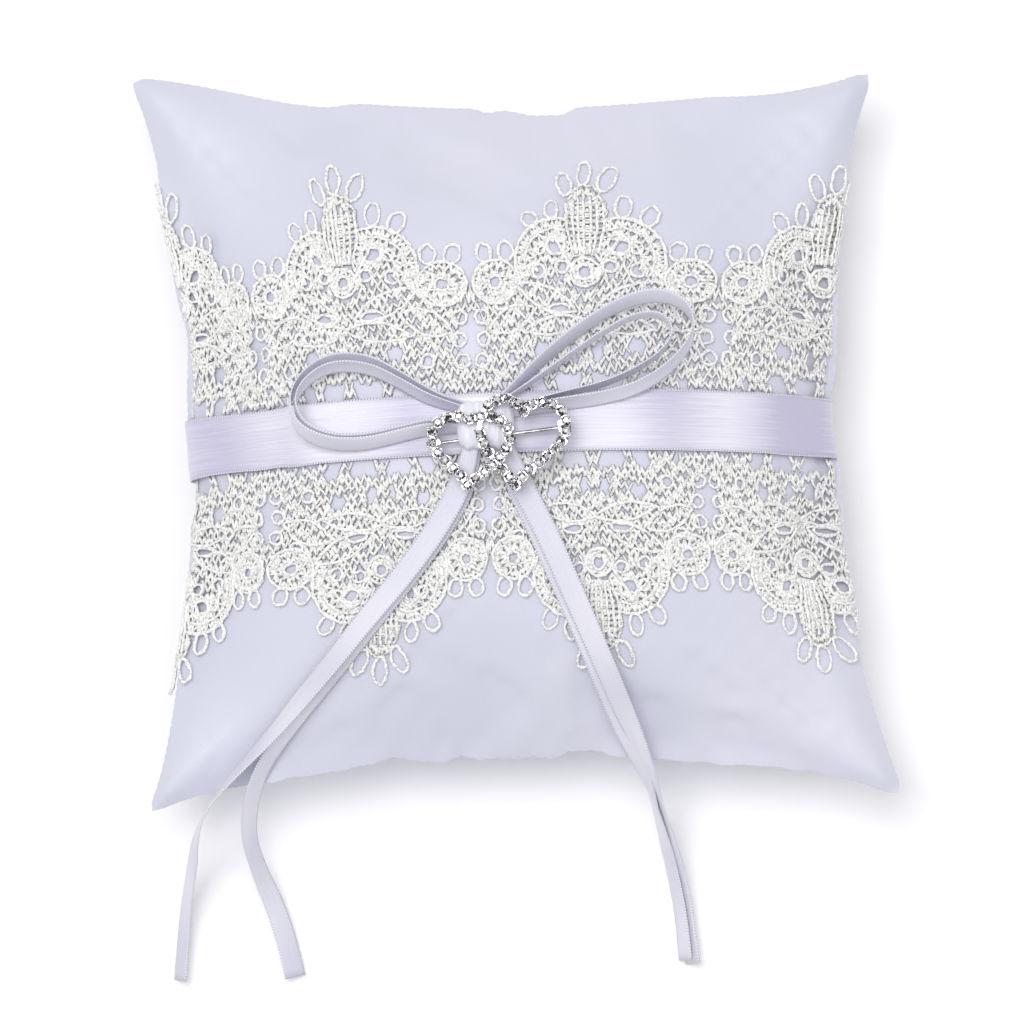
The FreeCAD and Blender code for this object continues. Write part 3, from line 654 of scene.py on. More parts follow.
def carrier(reaches, lift, seam_room):
    """The sheet over the given distances from the belt's middle; seam_room stands it off."""
    turn = np.arange(TURN_STEPS) * 4 / TURN_STEPS
    u = np.where(turn <= 2, turn - 1, 3 - turn)[:, None] + 0 * reaches[None]
    v = reaches[None] / (HALF_Y * (1 - PULL_Y * (1 - u ** 2)))
    row, column = (u + 1) / 2 * (FINE - 1), (v + 1) / 2 * (FINE - 1)
    on_front = (turn <= 2)[:, None, None]
    sheet = np.where(on_front, sampled(front_fine, row, column), sampled(back_fine, row, column))
    sheet = sheet + surface_normals(sheet) * lift
    from_seam = np.minimum(np.abs(turn - 2), np.minimum(turn, 4 - turn))
    outward = np.sign(u)[..., None] * np.array([1.0, 0, 0])
    sheet += outward * (np.exp(-(from_seam / 0.05) ** 2)[:, None] * seam_room)[..., None]
    share = np.exp(-(from_seam / 0.09) ** 2)[:, None, None]
    for _ in range(14):
        eased = (np.roll(sheet, 1, 0) + 2 * sheet + np.roll(sheet, -1, 0)) / 4
        sheet = sheet * (1 - share) + eased * share
    sheet[..., 2] = np.maximum(sheet[..., 2], 0.1 * MM)
    return sheet


belt_reach = np.linspace(-8, 8, RIBBON_COLUMNS) * MM
belt_sheet = carrier(belt_reach, 1.35 * MM, 4.5 * MM)

# %% [markdown]
# The belt is 16 mm satin ribbon, drawn snug over both laces' straight edges. It is built
# straight on its carrier, with a few very shallow waves, because a sewn-on ribbon is never
# perfectly flat.

# %% Belt ribbon
turn_angle = np.arange(TURN_STEPS) / TURN_STEPS * 2 * math.pi
ripple = (0.12 * np.sin(turn_angle * 9 + 0.5) + 0.1 * np.sin(turn_angle * 23))[:, None]
lean = np.sin(turn_angle * 14)[:, None] * np.linspace(-0.12, 0.12, RIBBON_COLUMNS)[None]
belt_sheet = belt_sheet + surface_normals(belt_sheet) * ((ripple + lean) * MM)[..., None]
belt_sheet[..., 2] = np.maximum(belt_sheet[..., 2], 0.2 * MM)
# the first row comes again at the end, so that the weave's V doesn't jump back
belt_points = np.concatenate([belt_sheet, belt_sheet[:1]])
along = run_lengths(belt_points[:, RIBBON_COLUMNS // 2]) / MM
belt_uv = np.stack(np.broadcast_arrays(belt_reach[None] / MM, along[:, None]), -1)
belt = mesh_piece("waist_belt", belt_points.reshape(-1, 3), strip_faces(len(belt_points)),
                  belt_uv.reshape(-1, 2))
apply_modifier(belt, "WELD", merge_threshold=1e-6)
apply_modifier(belt, "SOLIDIFY", thickness=RIBBON_THICKNESS, offset=0.0)
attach(belt, "root")
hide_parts("belt_ribbon")
paint(belt, belt_satin)
print("belt faces:", len(belt.data.polygons))

# %% [markdown]
# Guipure lace is embroidery with no net behind it: thick knotted cords, drawn as rings,
# fans, leaves and little loops called picots. One motif is drawn flat in millimetres, with X
# from its middle and Y from the belt. Cords are plain lines, and the dense parts between two
# cords are zigzags, which is how the machine fills them.

# %% Lace motif
REPEAT, PEAK, ROOT = 67.0, 71.5, 8.0  # the motif's width, its tip and its straight edge
FILL = 0.55  # half the width of a filling cord, which lies flat; the others are round
motif = []  # (points, radius in mm, closed)


def add_cord(points, radius=0.5, closed=False, mirrored=True):
    points = np.asarray(points, float)
    motif.append((points, radius, closed))
    if mirrored:
        motif.append((points * [-1, 1], radius, closed))
    return points


def ring_points(x, y, across, tall, tilt=0.0, start=0.0, end=360.0, count=28):
    """Points of an ellipse, or of part of one; tilt leans its top to the right."""
    angle = np.radians(np.linspace(start, end, count, endpoint=end - start < 360))
    flat = np.stack([across * np.cos(angle), tall * np.sin(angle)], -1)
    lean = math.radians(-tilt)
    turn = np.array([[math.cos(lean), math.sin(lean)], [-math.sin(lean), math.cos(lean)]])
    return flat @ turn + [x, y]


def add_zigzag(a, b, pitch, radius=FILL, mirrored=True):
    """A zigzag from line a to line b and back, both with the same number of points."""
    length = np.linalg.norm(np.diff((a + b) / 2, axis=0), axis=1).sum()
    count = max(2, int(round(2 * length / pitch)))
    place = np.linspace(0, len(a) - 1, count)
    edge = [np.stack([np.interp(place, range(len(line)), line[:, k]) for k in (0, 1)], -1)
            for line in (a, b)]
    points = np.where((np.arange(count) % 2 == 0)[:, None], edge[0], edge[1])
    add_cord(points, radius, mirrored=mirrored)


# picots: one at the tip, one each side of it, two on each shoulder, two over each rosette
add_cord(ring_points(0, 67.7, 2.0, 3.8), 0.52, True, mirrored=False)
for x, y, across, tall, tilt in ((5.7, 65.0, 1.9, 3.8, 24), (9.4, 57.3, 1.9, 3.2, 6),
                                 (15.6, 54.7, 2.1, 2.9, 32), (22.8, 45.6, 2.1, 2.6, 4),
                                 (29.2, 45.4, 2.1, 2.6, 12)):
    add_cord(ring_points(x, y, across, tall, tilt), 0.52, True)

# the head under the tip picots: an arch over a sheaf of upright cords
arch = ring_points(0, 55.0, 5.2, 9.0, start=0, end=180)
add_cord(arch, 0.55, mirrored=False)
add_zigzag(ring_points(0, 55.0, 4.6, 8.3, start=0, end=180),
           ring_points(0, 55.0, 3.2, 6.4, start=0, end=180), 1.3, mirrored=False)
for x_top, x_low in ((0, 0), (1.6, 1.2), (3.1, 2.2), (4.7, 3.2)):
    add_cord([(x_top, 61 - x_top * 0.5), (x_top * 1.05, 52), (x_low, 44.5)], 0.5,
             mirrored=x_top > 0)
add_zigzag(np.array([(-4.6, 59.0), (-4.4, 52), (-3.0, 44.5)]),
           np.array([(4.6, 59.0), (4.4, 52), (3.0, 44.5)]), 1.5, mirrored=False)

# the two fans: an outer cord, a dense band, an open band with bars, and an eye
fan = {r: ring_points(8.6, 42.8, r, r, start=-30, end=112, count=34)
       for r in (11.4, 10.7, 8.6, 7.9, 5.6)}
add_cord(fan[11.4], 0.58)
add_zigzag(fan[11.4], fan[8.6], 1.25)
add_cord(fan[8.6], 0.5)
add_zigzag(fan[8.6], fan[5.6], 2.1)
add_cord(fan[5.6], 0.48)
add_cord(ring_points(8.3, 47.0, 2.7, 2.7), 0.5, True)
add_zigzag(ring_points(8.3, 47.0, 2.9, 2.9, start=0, end=359),
           ring_points(8.3, 47.0, 4.3, 4.3, start=0, end=359), 1.4)
add_cord([(9.4, 51.0), (5.2, 43.4), (1.6, 37.0)], 0.6)

# the eye in the middle
for r in (3.9, 1.9):
    add_cord(ring_points(0, 39.6, r, r), 0.58, True, mirrored=False)
add_zigzag(ring_points(0, 39.6, 3.7, 3.7, start=0, end=359),
           ring_points(0, 39.6, 2.0, 2.0, start=0, end=359), 1.1, mirrored=False)

# rosettes at the valleys, with scalloped edges
for r in (6.4, 1.9):
    add_cord(ring_points(26.2, 37.6, r, r * 0.92), 0.52, True)
add_zigzag(ring_points(26.2, 37.6, 6.4, 5.9, start=0, end=359),
           ring_points(26.2, 37.6, 4.5, 4.1, start=0, end=359), 1.2)
add_zigzag(ring_points(26.2, 37.6, 4.2, 3.9, start=0, end=359),
           ring_points(26.2, 37.6, 2.1, 2.0, start=0, end=359), 1.3)
print("cords in the motif's upper part:", len(motif))

# %% [markdown]
# The lower half of the motif is a dense web with small round openings, and leaves are
# outlined over it. A few larger openings lie along the straight edge, and a tall gap parts
# each motif from the next.

# %% Lace motif, lower half
# openings: middle, half width and half height in millimetres
OPENINGS = [(5.2, 10.2, 3.2, 2.0), (14.2, 9.8, 2.6, 1.5), (24.0, 9.6, 1.6, 1.1),
            (3.2, 18.0, 1.3, 2.0), (12.4, 19.4, 1.7, 1.6), (21.4, 17.0, 1.4, 1.5),
            (17.0, 25.2, 1.2, 1.2), (7.4, 29.6, 2.8, 1.2), (24.6, 31.4, 1.4, 1.0),
            (REPEAT / 2, 21.8, 3.6, 6.4), (0, 39.6, 3.6, 3.6), (8.3, 47.0, 2.2, 2.2),
            (6.4, 41.2, 1.6, 1.3), (13.2, 40.2, 1.5, 1.6), (12.8, 46.2, 1.1, 1.3)]
UNRINGED = 5  # this many openings, the first ones, have no cord of their own round them


def add_web_row(low, high, end, pitch):
    """A zigzag row from the middle out to x = end, broken where it meets an opening."""
    count = int(end / pitch * 2)
    x = np.linspace(0, end, count)
    y = np.where(np.arange(count) % 2 == 0, low, high) + 0.5 * np.sin(x * 0.9 + low)
    inside = np.zeros(count, bool)
    for place_x, place_y, half_x, half_y in OPENINGS:
        inside |= ((x - place_x) / half_x) ** 2 + ((y - place_y) / half_y) ** 2 < 1.1
    run = []
    for k in range(count):
        if not inside[k]:
            run.append((x[k], y[k]))
        if inside[k] or k == count - 1:
            if len(run) > 1:
                add_cord(run, FILL)
            run = []


for k, low in enumerate(np.arange(8.6, 46.0, 2.1)):
    end = 33.5 if low < 31.5 else 28.5 - (low - 31.5) * 0.9
    add_web_row(low, low + 2.25, end, 1.9 if k % 2 else 1.75)
for x, y, half_x, half_y in OPENINGS[UNRINGED:]:
    if half_y < 3:
        add_cord(ring_points(x, y, half_x + 0.3, half_y + 0.3), 0.5, True)

# leaf outlines raised over the web, and small loops round the tall gap
for x, y, length, width, tilt in ((11, 32.8, 19, 6, 24), (21.5, 27.4, 15, 6.4, -24),
                                  (8.6, 25.4, 18, 5.0, -8)):
    share = np.linspace(-1, 1, 14)
    turn = math.radians(tilt)
    lean = np.array([[math.cos(turn), math.sin(turn)], [-math.sin(turn), math.cos(turn)]])
    for s in (-1, 1):
        edge = np.stack([share * length / 2, s * width / 2 * (1 - share ** 2)], -1)
        add_cord(edge @ lean + [x, y], 0.5)
for x, y, r in ((30.4, 28.4, 1.9), (30.0, 22.4, 1.8), (30.8, 16.6, 1.9)):
    add_cord(ring_points(x, y, r, r), 0.5, True)
add_zigzag(np.array([(29.5, 34.2), (31.5, 32.6), (33.6, 32.2)]),
           np.array([(29.5, 38.0), (31.5, 37.2), (33.6, 36.4)]), 1.6)
total = sum(np.linalg.norm(np.diff(points, axis=0), axis=1).sum() for points, _, _ in motif)
print("thread in one motif, in mm:", round(total))

# %% [markdown]
# The motif is repeated round the pillow and laid on the trim's carrier. Each cord becomes a
# thin five-sided tube. Its thickness changes from step to step, because the real cord is a
# row of knots, and that gives guipure its grainy look. Where each tip and valley lies on the
# pillow is a short list of stations, in turns round the pillow. The filling cords lie flat,
# so they are low ridges, about half as tall as they are wide.

# %% Lace trims
CORD_STEP, CORD_WANDER, FILL_WANDER = 1.05, 0.4, 0.8  # in mm
SHEET_WANDER = 0.25 * MM  # how far a cord strays up or down from the carrier
CORD_LEVEL, LAYER_STEP = 0.4, 0.1  # a round cord's height above the fill, in mm
RIDGE_HEIGHT, RIDGE_OVERLAP = 0.5 * MM, 0.2 * MM


def spaced(points, closed, radius):
    """The line again with points about CORD_STEP apart; a filling cord keeps its corners."""
    if radius == FILL:
        return points
    if closed:
        points = np.concatenate([points, points[:1]])
    out = []
    for a, b in zip(points, points[1:]):
        count = max(1, int(round(np.linalg.norm(b - a) / CORD_STEP)))
        out.append(a + (b - a) * (np.arange(count) / count)[:, None])
    joined = np.concatenate(out + ([] if closed else [points[-1:]]))
    if len(joined) > 3 and np.linalg.norm(np.diff(joined, axis=0), axis=1).mean() < 0.6:
        joined = joined[::2] if closed else np.concatenate([joined[:-1:2], joined[-1:]])
    return joined


def round_cord(line, normal, size, closed):
    """A five-sided tube of changing thickness along the line."""
    forward = np.roll(line, -1, 0) - np.roll(line, 1, 0) if closed else np.gradient(line, axis=0)
    across = unit(np.cross(normal, forward))
    angle = np.arange(5) * 2 * math.pi / 5
    spread = (across[:, None] * np.cos(angle)[None, :, None]
              + normal[:, None] * np.sin(angle)[None, :, None] * 0.85)
    count = len(line)
    i = np.arange(count if closed else count - 1)[:, None]
    j = np.arange(5)[None]
    here, there, after = i * 5, (i + 1) % count * 5, (j + 1) % 5
    faces = np.stack([here + j, here + after, there + after, there + j], -1).reshape(-1, 4).tolist()
    if not closed:
        faces += [[4, 3, 2, 1, 0], [(count - 1) * 5 + k for k in range(5)]]
    return (line[:, None] + spread * size[:, None, None]).reshape(-1, 3), faces


def flat_stitches(line, normal, knots):
    """A filling cord: one low ridge from each of its corners to the next, as a prism."""
    low, high = line[:-1], line[1:]
    forward, up = unit(high - low), unit(normal[:-1] + normal[1:])
    across = unit(np.cross(up, forward))
    half = (FILL * MM * (0.7 + 0.6 * knots.random(len(low))))[:, None]
    rise = up * (RIDGE_HEIGHT * (0.7 + 0.6 * knots.random(len(low))))[:, None]
    ends = [low - forward * RIDGE_OVERLAP, high + forward * RIDGE_OVERLAP]
    points = np.stack([p for end in ends for p in (end - across * half, end + across * half,
                                                   end + rise)], 1)
    prism = [[0, 2, 1], [3, 4, 5], [0, 1, 4, 3], [1, 2, 5, 4], [2, 0, 3, 5]]
    return points.reshape(-1, 3), [[6 * k + c for c in face] for k in range(len(low))
                                   for face in prism]


def face_outwards(piece):
    bm = bmesh.new()
    bm.from_mesh(piece.data)
    bmesh.ops.recalc_face_normals(bm, faces=bm.faces)
    bm.to_mesh(piece.data)
    bm.free()


def lace_trim(name, stations, height_share, sheet, reaches, seed):
    """Every repeat of the motif, laid on the carrier; each half repeat ends at a station."""
    knots = np.random.default_rng(seed)
    normals = surface_normals(sheet)
    sheet, normals = (np.concatenate([s, s[:1]]) for s in (sheet, normals))
    phases = np.arange(len(stations)) / 2
    cords = [(spaced(points, closed, radius), radius, closed)
             for points, radius, closed in motif]
    vertices, faces, start = [], [], 0
    for repeat in range(int(phases[-1])):
        for layer, (points, radius, closed) in enumerate(cords):
            loose = FILL_WANDER if radius == FILL else CORD_WANDER
            points = points + loose * (knots.random(points.shape) - 0.5)
            phase = (repeat + points[:, 0] / REPEAT) % phases[-1]
            turn = np.interp(phase, phases, stations) % 4
            height = (ROOT + (points[:, 1] - ROOT) * height_share) * MM
            row = turn / 4 * TURN_STEPS
            column = (height - reaches[0]) / (reaches[-1] - reaches[0]) * (len(reaches) - 1)
            line, normal = sampled(sheet, row, column), unit(sampled(normals, row, column))
            line = line + normal * (SHEET_WANDER * (knots.random(len(line)) - 0.5))[:, None]
            if radius == FILL:
                new_points, new_faces = flat_stitches(line, normal, knots)
            else:
                line = line + normal * (CORD_LEVEL + LAYER_STEP * (layer % 3)) * MM
                size = radius * MM * (0.6 + 0.62 * knots.random(len(line)))
                new_points, new_faces = round_cord(line, normal, size, closed)
            vertices.append(new_points)
            faces += [[start + k for k in face] for face in new_faces]
            start += len(new_points)
    points = np.concatenate(vertices)
    points[:, 2] = np.maximum(points[:, 2], 0.05 * MM)
    piece = mesh_piece(name, points, faces)
    face_outwards(piece)
    piece.data.polygons.foreach_set("use_smooth", [True] * len(piece.data.polygons))
    print(name, "faces:", len(piece.data.polygons))
    return piece


BACK_REPEATS = 3
LACE = {
    "upper_guipure": {"node": "upper_lace_trim", "side": 1, "height_share": 1.0, "seed": 3,
                      "front": [-0.99, -0.76, -0.49, -0.11, 0.2236, 0.632, 0.948],
                      "room": 5.5 * MM, "flat": 66 * MM},
    "lower_guipure": {"node": "lower_lace_trim", "side": -1, "height_share": 0.905, "seed": 8,
                      "front": [-0.998, -0.742, -0.396, -0.079, 0.237, 0.579, 0.86],
                      "room": 6.5 * MM, "flat": 62 * MM},
}
laces = []
for name, trim in LACE.items():
    front = [place + 1 for place in trim["front"]]
    back = np.linspace(front[-1], front[0] + 4, 2 * BACK_REPEATS + 1)[1:]
    far = ROOT + (PEAK - ROOT) * trim["height_share"]
    reaches = np.linspace(5.0, far + 1.0, 33) * MM
    room = trim["room"] * (0.35 + 0.65 * reaches / reaches[-1])[None]
    sheet = carrier(reaches * trim["side"], 0.45 * MM, room)
    piece = lace_trim(name, front + list(back), trim["height_share"], sheet, reaches,
                      trim["seed"])
    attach(piece, "root")
    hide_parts(trim["node"])
    laces.append(piece)

# %% [markdown]
# Guipure cord is spun cotton or polyester, matt and a little warmer than the satin. Tiny
# stitches of about 0.7 mm cover it. A fine noise speckles it light and grey: painted light on
# the stitches' tops and painted shade in the gaps between them.

# %% Lace finish
guipure, tree, shader = new_material("guipure cord, warm white", Roughness=0.85,
                                     Sheen_Weight=0.15)
place = add_node(tree, "TexCoord").outputs["Object"]
painted_stitch_light_and_shade = add_node(tree, "TexNoise", {"Vector": place, "Scale": 1500.0, "Detail": 2.0,
                                   "Roughness": 0.6})
# the light and grey speckle is painted light and painted shade on the stitches
tint(tree, shader, painted_stitch_light_and_shade.outputs["Fac"],
     [(0.36, "#CFCFCB"), (0.47, "#F1F1EE"), (0.6, "#FFFFFC")])
emboss(tree, shader, painted_stitch_light_and_shade.outputs["Fac"], 0.6, 0.0003)
for piece in laces:
    paint(piece, guipure)
print("lace finish:", guipure.name)

# %% [markdown]
# The four loops of the double bow are bands of ribbon that stand on a slant: each is its
# plan curve moved along one slanting direction, so both long sides show their faces and the
# far turn is seen nearly on edge. That is how a springy ribbon loop really sits.

# %% Bow loops
LEFT_DROP, RIGHT_DROP = 0.139, 0.0645  # how far a loop sinks for each unit outwards
LOOPS = {
    "left_front_loop": {"plan": [
        (-9, 3.2), (-13, 4.3), (-20, 6.5), (-28, 12), (-37, 17.5), (-47, 18.5), (-55, 14),
        (-58.5, 7), (-56, 0), (-48, -4), (-38, -4.5), (-28, -2.4), (-20, -1.2), (-9, -1.8)],
        "slant": (0.07, 0.45, 0.89)},
    "left_rear_loop": {"plan": [
        (-9, 2.2), (-20, 5.2), (-28, 10.4), (-37, 15.6), (-47, 16.6), (-54, 12.6), (-57, 7),
        (-54.5, 0.8), (-47.5, -2.8), (-38, -3.2), (-28, -1.2), (-20, 0.2), (-9, 0.2)],
        "slant": (0.05, 0.36, 0.93)},
    "right_outer_loop": {"plan": [
        (-4, 4.6), (4, 12), (13, 20), (24, 27.5), (34, 32), (42, 32), (48, 27.5), (48, 20.5),
        (42, 13), (33, 7.5), (23, 5), (13, 4), (-3, 1.5)],
        "slant": (-0.04, 0.46, 0.89)},
    "right_inner_loop": {"plan": [
        (-4, 4.2), (5, 9.5), (15, 16.5), (25, 23), (33, 27), (40, 27), (43, 22.5), (40, 17),
        (32, 12), (23, 8.5), (13, 6.5), (-3, 2.6)],
        "slant": (0.0, 0.12, 0.99)},
}
LOOP_MIDDLE, KNOT_LEFT = 74.5, -14.5
for name, loop in LOOPS.items():
    route = []
    for x, y in loop["plan"]:
        if name.startswith("left"):
            drop = LEFT_DROP * max(0.0, KNOT_LEFT - x)
        else:
            drop = RIGHT_DROP * max(0.0, (x - 3.2) * 0.86 + (y - 6) * 0.5)
        route.append((x, y, LOOP_MIDDLE - drop))
    line = smooth_line(route)
    length = run_lengths(line)
    slant = unit(np.array(loop["slant"], float))[None] + 0 * line
    near_knot = np.minimum(length, length[-1] - length)
    gather = np.interp(near_knot, [0, 14 * MM], [0.55, 1.0])
    piece = ribbon(name + "_ribbon", line, slant, RIBBON_WIDTH * gather, bow=0.3 * MM)
    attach(piece, "root")
    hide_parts(name)
    paint(piece, bow_satin)
    print(name, "ribbon length in mm:", round(length[-1] / MM, 1))

# %% [markdown]
# The knot is ribbon wound tightly round the middle of the bow. It starts as a rounded block
# from a subdivided cube, and its lengthwise folds are pressed in by moving each point in or
# out along a wave.

# %% Bow knot
knot_low, knot_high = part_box("bow_knot")
knot_middle, knot_size = (knot_low + knot_high) / 2, knot_high - knot_low
bpy.ops.object.select_all(action="DESELECT")
bpy.ops.mesh.primitive_cube_add(size=1.0)
knot = bpy.context.active_object
knot.name = "wound_knot"
apply_modifier(knot, "SUBSURF", levels=4, render_levels=4)
for vertex in knot.data.vertices:
    place = Vector(vertex.co).normalized()
    square = Vector([math.copysign(abs(c) ** 0.62, c) for c in place])
    folds = 1 + 0.05 * math.sin(place.x * 17 + 3 * place.y) * (1 - place.x ** 2)
    pinch = 1 - 0.16 * (1 - min(1, abs(place.x) * 1.4)) * abs(place.y)
    vertex.co = Vector((square.x * knot_size.x / 2, square.y * knot_size.y / 2 * pinch * folds,
                        square.z * knot_size.z / 2 * folds * 0.96)) + knot_middle
for polygon in knot.data.polygons:
    polygon.use_smooth = True
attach(knot, "root")
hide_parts("bow_knot")

knot_satin, tree, shader = new_material("polyester satin ribbon, wound", Roughness=0.38,
                                        Sheen_Weight=0.25)
place = add_node(tree, "TexCoord").outputs["Object"]
# light and dark streaks along the wound ribbon: painted sheen, as on the loose ribbon
stretched = add_node(tree, "Mapping", {"Vector": place, "Scale": (900.0, 60.0, 200.0)})
folds = add_node(tree, "TexNoise", {"Vector": stretched.outputs["Vector"], "Scale": 1.0,
                                    "Detail": 3.0})
tint(tree, shader, folds.outputs["Fac"], [(0.3, "#DCDCEA"), (0.7, "#F3F3FC")])
emboss(tree, shader, folds.outputs["Fac"], 0.7, 0.0006)
paint(knot, knot_satin)
print("knot size in mm:", [round(c / MM, 1) for c in knot_size])

# %% [markdown]
# The brooch is a casting with bright silver plating. Its cups and links come from the frame.
# Its stones come as plain bodies, so the first step finds where each one lies: points that
# are joined by edges belong to the same stone, and its box gives its middle and its top.

# %% Stone places
def stone_centres(node):
    """The middle of every loose stone in a CAD node, and the level of its top."""
    bm = bmesh.new()
    bm.from_mesh(node.data)
    bmesh.ops.remove_doubles(bm, verts=bm.verts, dist=1e-7)
    left, centres = set(bm.verts), []
    while left:
        island, edge = set(), [left.pop()]
        while edge:
            vertex = edge.pop()
            island.add(vertex)
            for link in vertex.link_edges:
                other = link.other_vert(vertex)
                if other in left:
                    left.discard(other)
                    edge.append(other)
        points = np.array([v.co[:] for v in island])
        low, high = points.min(0), points.max(0)
        centres.append(Vector(((low[0] + high[0]) / 2, (low[1] + high[1]) / 2, high[2])))
    bm.free()
    return sorted(centres, key=lambda c: (round(c.x, 5), round(c.y, 5)))


stones = {name: stone_centres(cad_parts[name])
          for name in ("left_heart_stones", "right_heart_stones")}
print("stones:", {name: len(places) for name, places in stones.items()})

# %% [markdown]
# A cut stone has a flat table, two rows of crown facets down to its widest ring, the girdle,
# and a back. Every stone is turned and tipped a little, as hand setting leaves them, so each
# catches the light in its own way. Every facet gets a tone of its own, from dark to bright,
# which the finish uses as a painted reflection.

# %% Cut stones
TIP_RANGE = 0.5  # in radians, from one side to the other
STONE_RINGS = [(8, 0.52, 0.0, 0.0), (8, 1.08, -0.3, 0.5), (16, 1.36, -0.8, 0.0),
               (8, 0.70, -1.35, 0.5)]  # corners, radius in mm, depth in mm, turn in steps


def cut_stone():
    """The corners and facets of one stone: table, two rows of crown facets, and a back."""
    rings, corners = [], []
    for count, radius, depth, shift in STONE_RINGS:
        angle = (np.arange(count) + shift) * 2 * math.pi / count
        rings.append(list(range(len(corners), len(corners) + count)))
        corners += [(radius * math.cos(a), radius * math.sin(a), depth) for a in angle]
    table, crown, girdle, back = rings
    facets = [table, back[::-1]]
    for i in range(8):
        j, h = (i + 1) % 8, (i - 1) % 8
        facets += [[table[i], crown[i], table[j]], [table[i], crown[h], crown[i]]]
        facets += [[crown[i], girdle[2 * i + 1], girdle[(2 * i + 2) % 16]],
                   [crown[i], girdle[2 * i], girdle[2 * i + 1]],
                   [crown[h], girdle[2 * i], crown[i]]]
        facets += [[girdle[2 * i], back[i], girdle[2 * i + 1]],
                   [girdle[2 * i + 1], back[i], girdle[(2 * i + 2) % 16]],
                   [girdle[2 * i], back[h], back[i]]]
    return np.array(corners), facets


corners, facets = cut_stone()
cut_random = np.random.default_rng(11)
stone_pieces = []
for name, places in stones.items():
    vertices, faces, painted_reflection_tones = [], [], []
    for k, place in enumerate(places):
        turn = cut_random.random() * math.pi
        tip = (cut_random.random(2) - 0.5) * TIP_RANGE
        spin = Matrix.Rotation(turn, 3, "Z") @ Matrix.Rotation(tip[0], 3, "X")
        spin = Matrix.Rotation(tip[1], 3, "Y") @ spin
        vertices += [tuple(spin @ Vector(c) * MM + place) for c in corners]
        faces += [[i + k * len(corners) for i in facet] for facet in facets]
        # a random tone for each facet, which the crystal finish paints as its reflection
        painted_reflection_tones += list(cut_random.random(len(facets)))
    piece = mesh_piece(name.replace("heart_stones", "cut_stones"), vertices, faces)
    face_outwards(piece)
    piece.data.polygons.foreach_set("use_smooth", [False] * len(piece.data.polygons))
    layer = piece.data.attributes.new("painted_facet_reflection", "FLOAT", "FACE")
    layer.data.foreach_set("value", np.array(painted_reflection_tones, np.float32))
    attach(piece, "brooch_front")
    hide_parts(name)
    stone_pieces.append(piece)
print("facets on a stone:", len(facets))

# %% [markdown]
# Each claw is modelled once as a small rounded bead and copied to four places round every
# stone, turned by 45 degrees so that the claws fall in the gaps of the row.

# %% Claws
CLAW_RADIUS, CLAW_REACH, CLAW_LEVEL = 0.38 * MM, 1.42 * MM, 0.3 * MM
bpy.ops.object.select_all(action="DESELECT")
bpy.ops.mesh.primitive_uv_sphere_add(segments=8, ring_count=5, radius=CLAW_RADIUS)
claw = bpy.context.active_object
claw_points = np.array([v.co[:] for v in claw.data.vertices]) * [1, 1, 1.35]
claw_faces = [list(p.vertices) for p in claw.data.polygons]
bpy.data.objects.remove(claw)
vertices, faces = [], []
for places in stones.values():
    for k, place in enumerate(places):
        following = min((p for p in places if p is not place), key=lambda p: (p - place).length)
        heading_angle = math.atan2(following.y - place.y, following.x - place.x)
        for quarter in range(4):
            angle = heading_angle + math.pi / 4 + quarter * math.pi / 2
            spot = Vector((math.cos(angle) * CLAW_REACH, math.sin(angle) * CLAW_REACH,
                           -CLAW_LEVEL)) + place
            start = len(vertices)
            vertices += [tuple(Vector(p) + spot) for p in claw_points]
            faces += [[i + start for i in face] for face in claw_faces]
claws = mesh_piece("stone_claws", vertices, faces)
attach(claws, "brooch_front")
print("claws:", len(faces) // len(claw_faces))

# %% [markdown]
# Silver plating is a mirror, so the metal is bright, with darker patches of about a
# millimetre painted on it as painted reflections of a darker surround. The crystal's facets
# each have their own tone, from near black to white: painted reflections, standing in for the
# foil behind them throwing light back from only some.

# %% Brooch finishes
plating, tree, shader = new_material("silver plating, bright", Metallic=1.0, Roughness=0.2)
place = add_node(tree, "TexCoord").outputs["Object"]
painted_dark_reflections = add_node(tree, "TexNoise", {"Vector": place, "Scale": 900.0, "Detail": 2.0})
# the dark patches on the bright metal are painted reflections
tint(tree, shader, painted_dark_reflections.outputs["Fac"],
     [(0.34, "#4A4846"), (0.44, "#C9C7C6"), (0.56, "#F4F2F1")])
emboss(tree, shader, painted_dark_reflections.outputs["Fac"], 0.4, 0.0003)

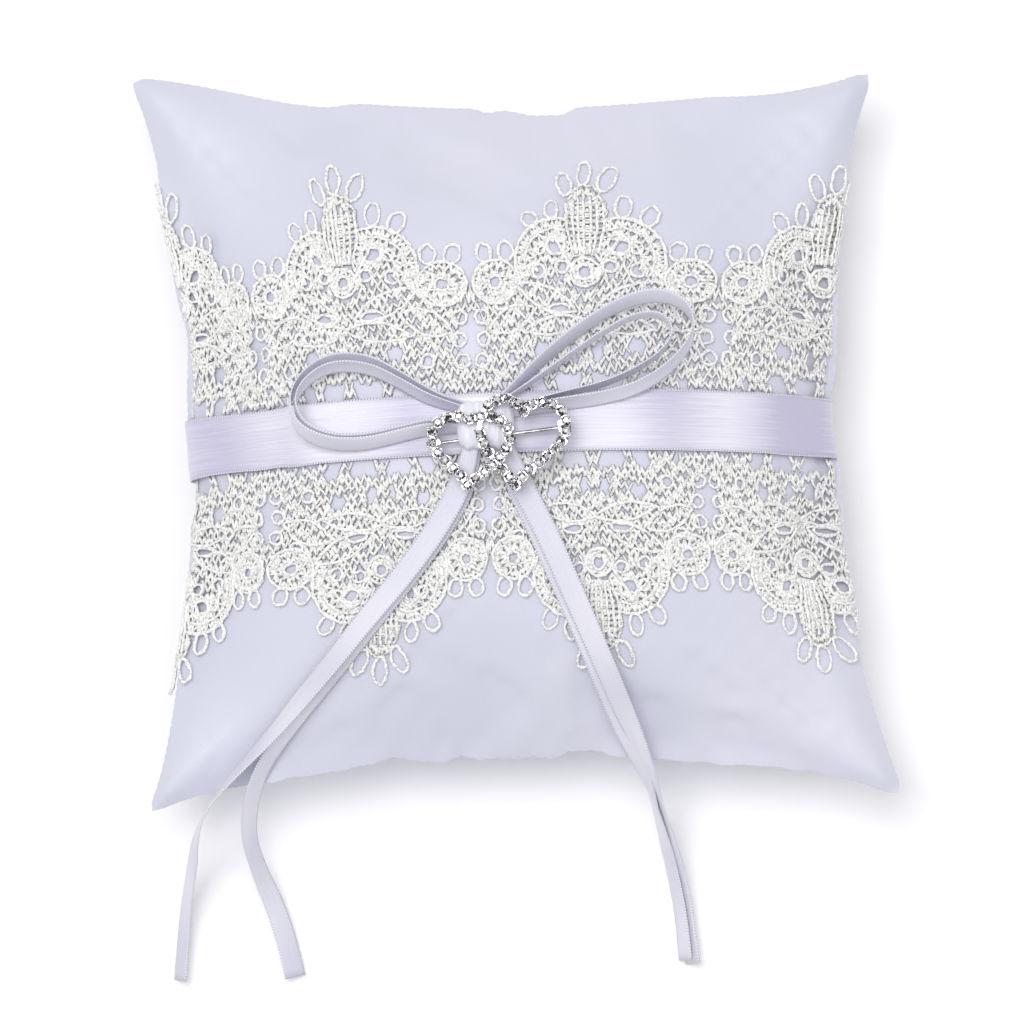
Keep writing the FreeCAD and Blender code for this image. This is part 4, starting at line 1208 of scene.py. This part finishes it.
nickel, tree, shader = new_material("nickel-plated steel, drawn", Metallic=1.0, Roughness=0.24)
place = add_node(tree, "TexCoord").outputs["Object"]
drawn = add_node(tree, "TexNoise", {"Vector": place, "Scale": 500.0, "Detail": 3.0})
tint(tree, shader, drawn.outputs["Fac"], [(0.35, "#9B9A9C"), (0.65, "#DAD9DA")])

crystal, tree, shader = new_material("foil-backed crystal, cut", Metallic=0.75, Roughness=0.06,
                                     Coat_Weight=1.0, Coat_Roughness=0.03)
tone = add_node(tree, "Attribute", attribute_name="painted_facet_reflection")
# dark and bright facets: painted reflections
tint(tree, shader, tone.outputs["Fac"],
     [(0.0, "#151214"), (0.32, "#5A5456"), (0.46, "#C9C7C9"), (0.65, "#F6F5F6")])
for piece in stone_pieces:
    paint(piece, crystal)
paint(claws, plating)
for name in ("brooch_setting", "catch_body", "hinge_bracket", "catch_roller"):
    paint(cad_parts[name], plating)
for name in ("pin_stem", "hinge_rivet"):
    paint(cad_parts[name], nickel)
print("brooch finishes:", plating.name, nickel.name, crystal.name)

# %% [markdown]
# The stage is a plain white floor. A soft light stands high and a little to the left, a
# larger, weaker one fills from the right, and an even sky lifts the shadows.

# %% Stage and light
bpy.ops.object.select_all(action="DESELECT")
bpy.ops.mesh.primitive_plane_add(size=6.0, location=(0, 0, 0))
floor = bpy.context.active_object
floor.name = "floor"
paper, tree, shader = new_material("white paper sweep", Roughness=0.9,
                                   Base_Color=colour("#FFFFFF"))
paint(floor, paper)

for name, place, power, size in (("key", (-0.25, 0.15, 1.5), 11.6, 0.7),
                                 ("fill", (0.5, -0.2, 1.4), 2.0, 1.0)):
    lamp = bpy.data.lights.new(name, "AREA")
    lamp.energy, lamp.size = power, size
    holder = bpy.data.objects.new(name, lamp)
    bpy.context.collection.objects.link(holder)
    holder.location = place
    holder.rotation_euler = (PILLOW_MIDDLE - Vector(place)).to_track_quat("-Z", "Y").to_euler()
world = bpy.data.worlds.new("studio")
world.use_nodes = True
sky = world.node_tree.nodes["Background"]
sky.inputs["Color"].default_value = colour("#FAFAFF")
sky.inputs["Strength"].default_value = 0.58
bpy.context.scene.world = world
bpy.context.scene.view_settings.view_transform = "Standard"  # whites stay white
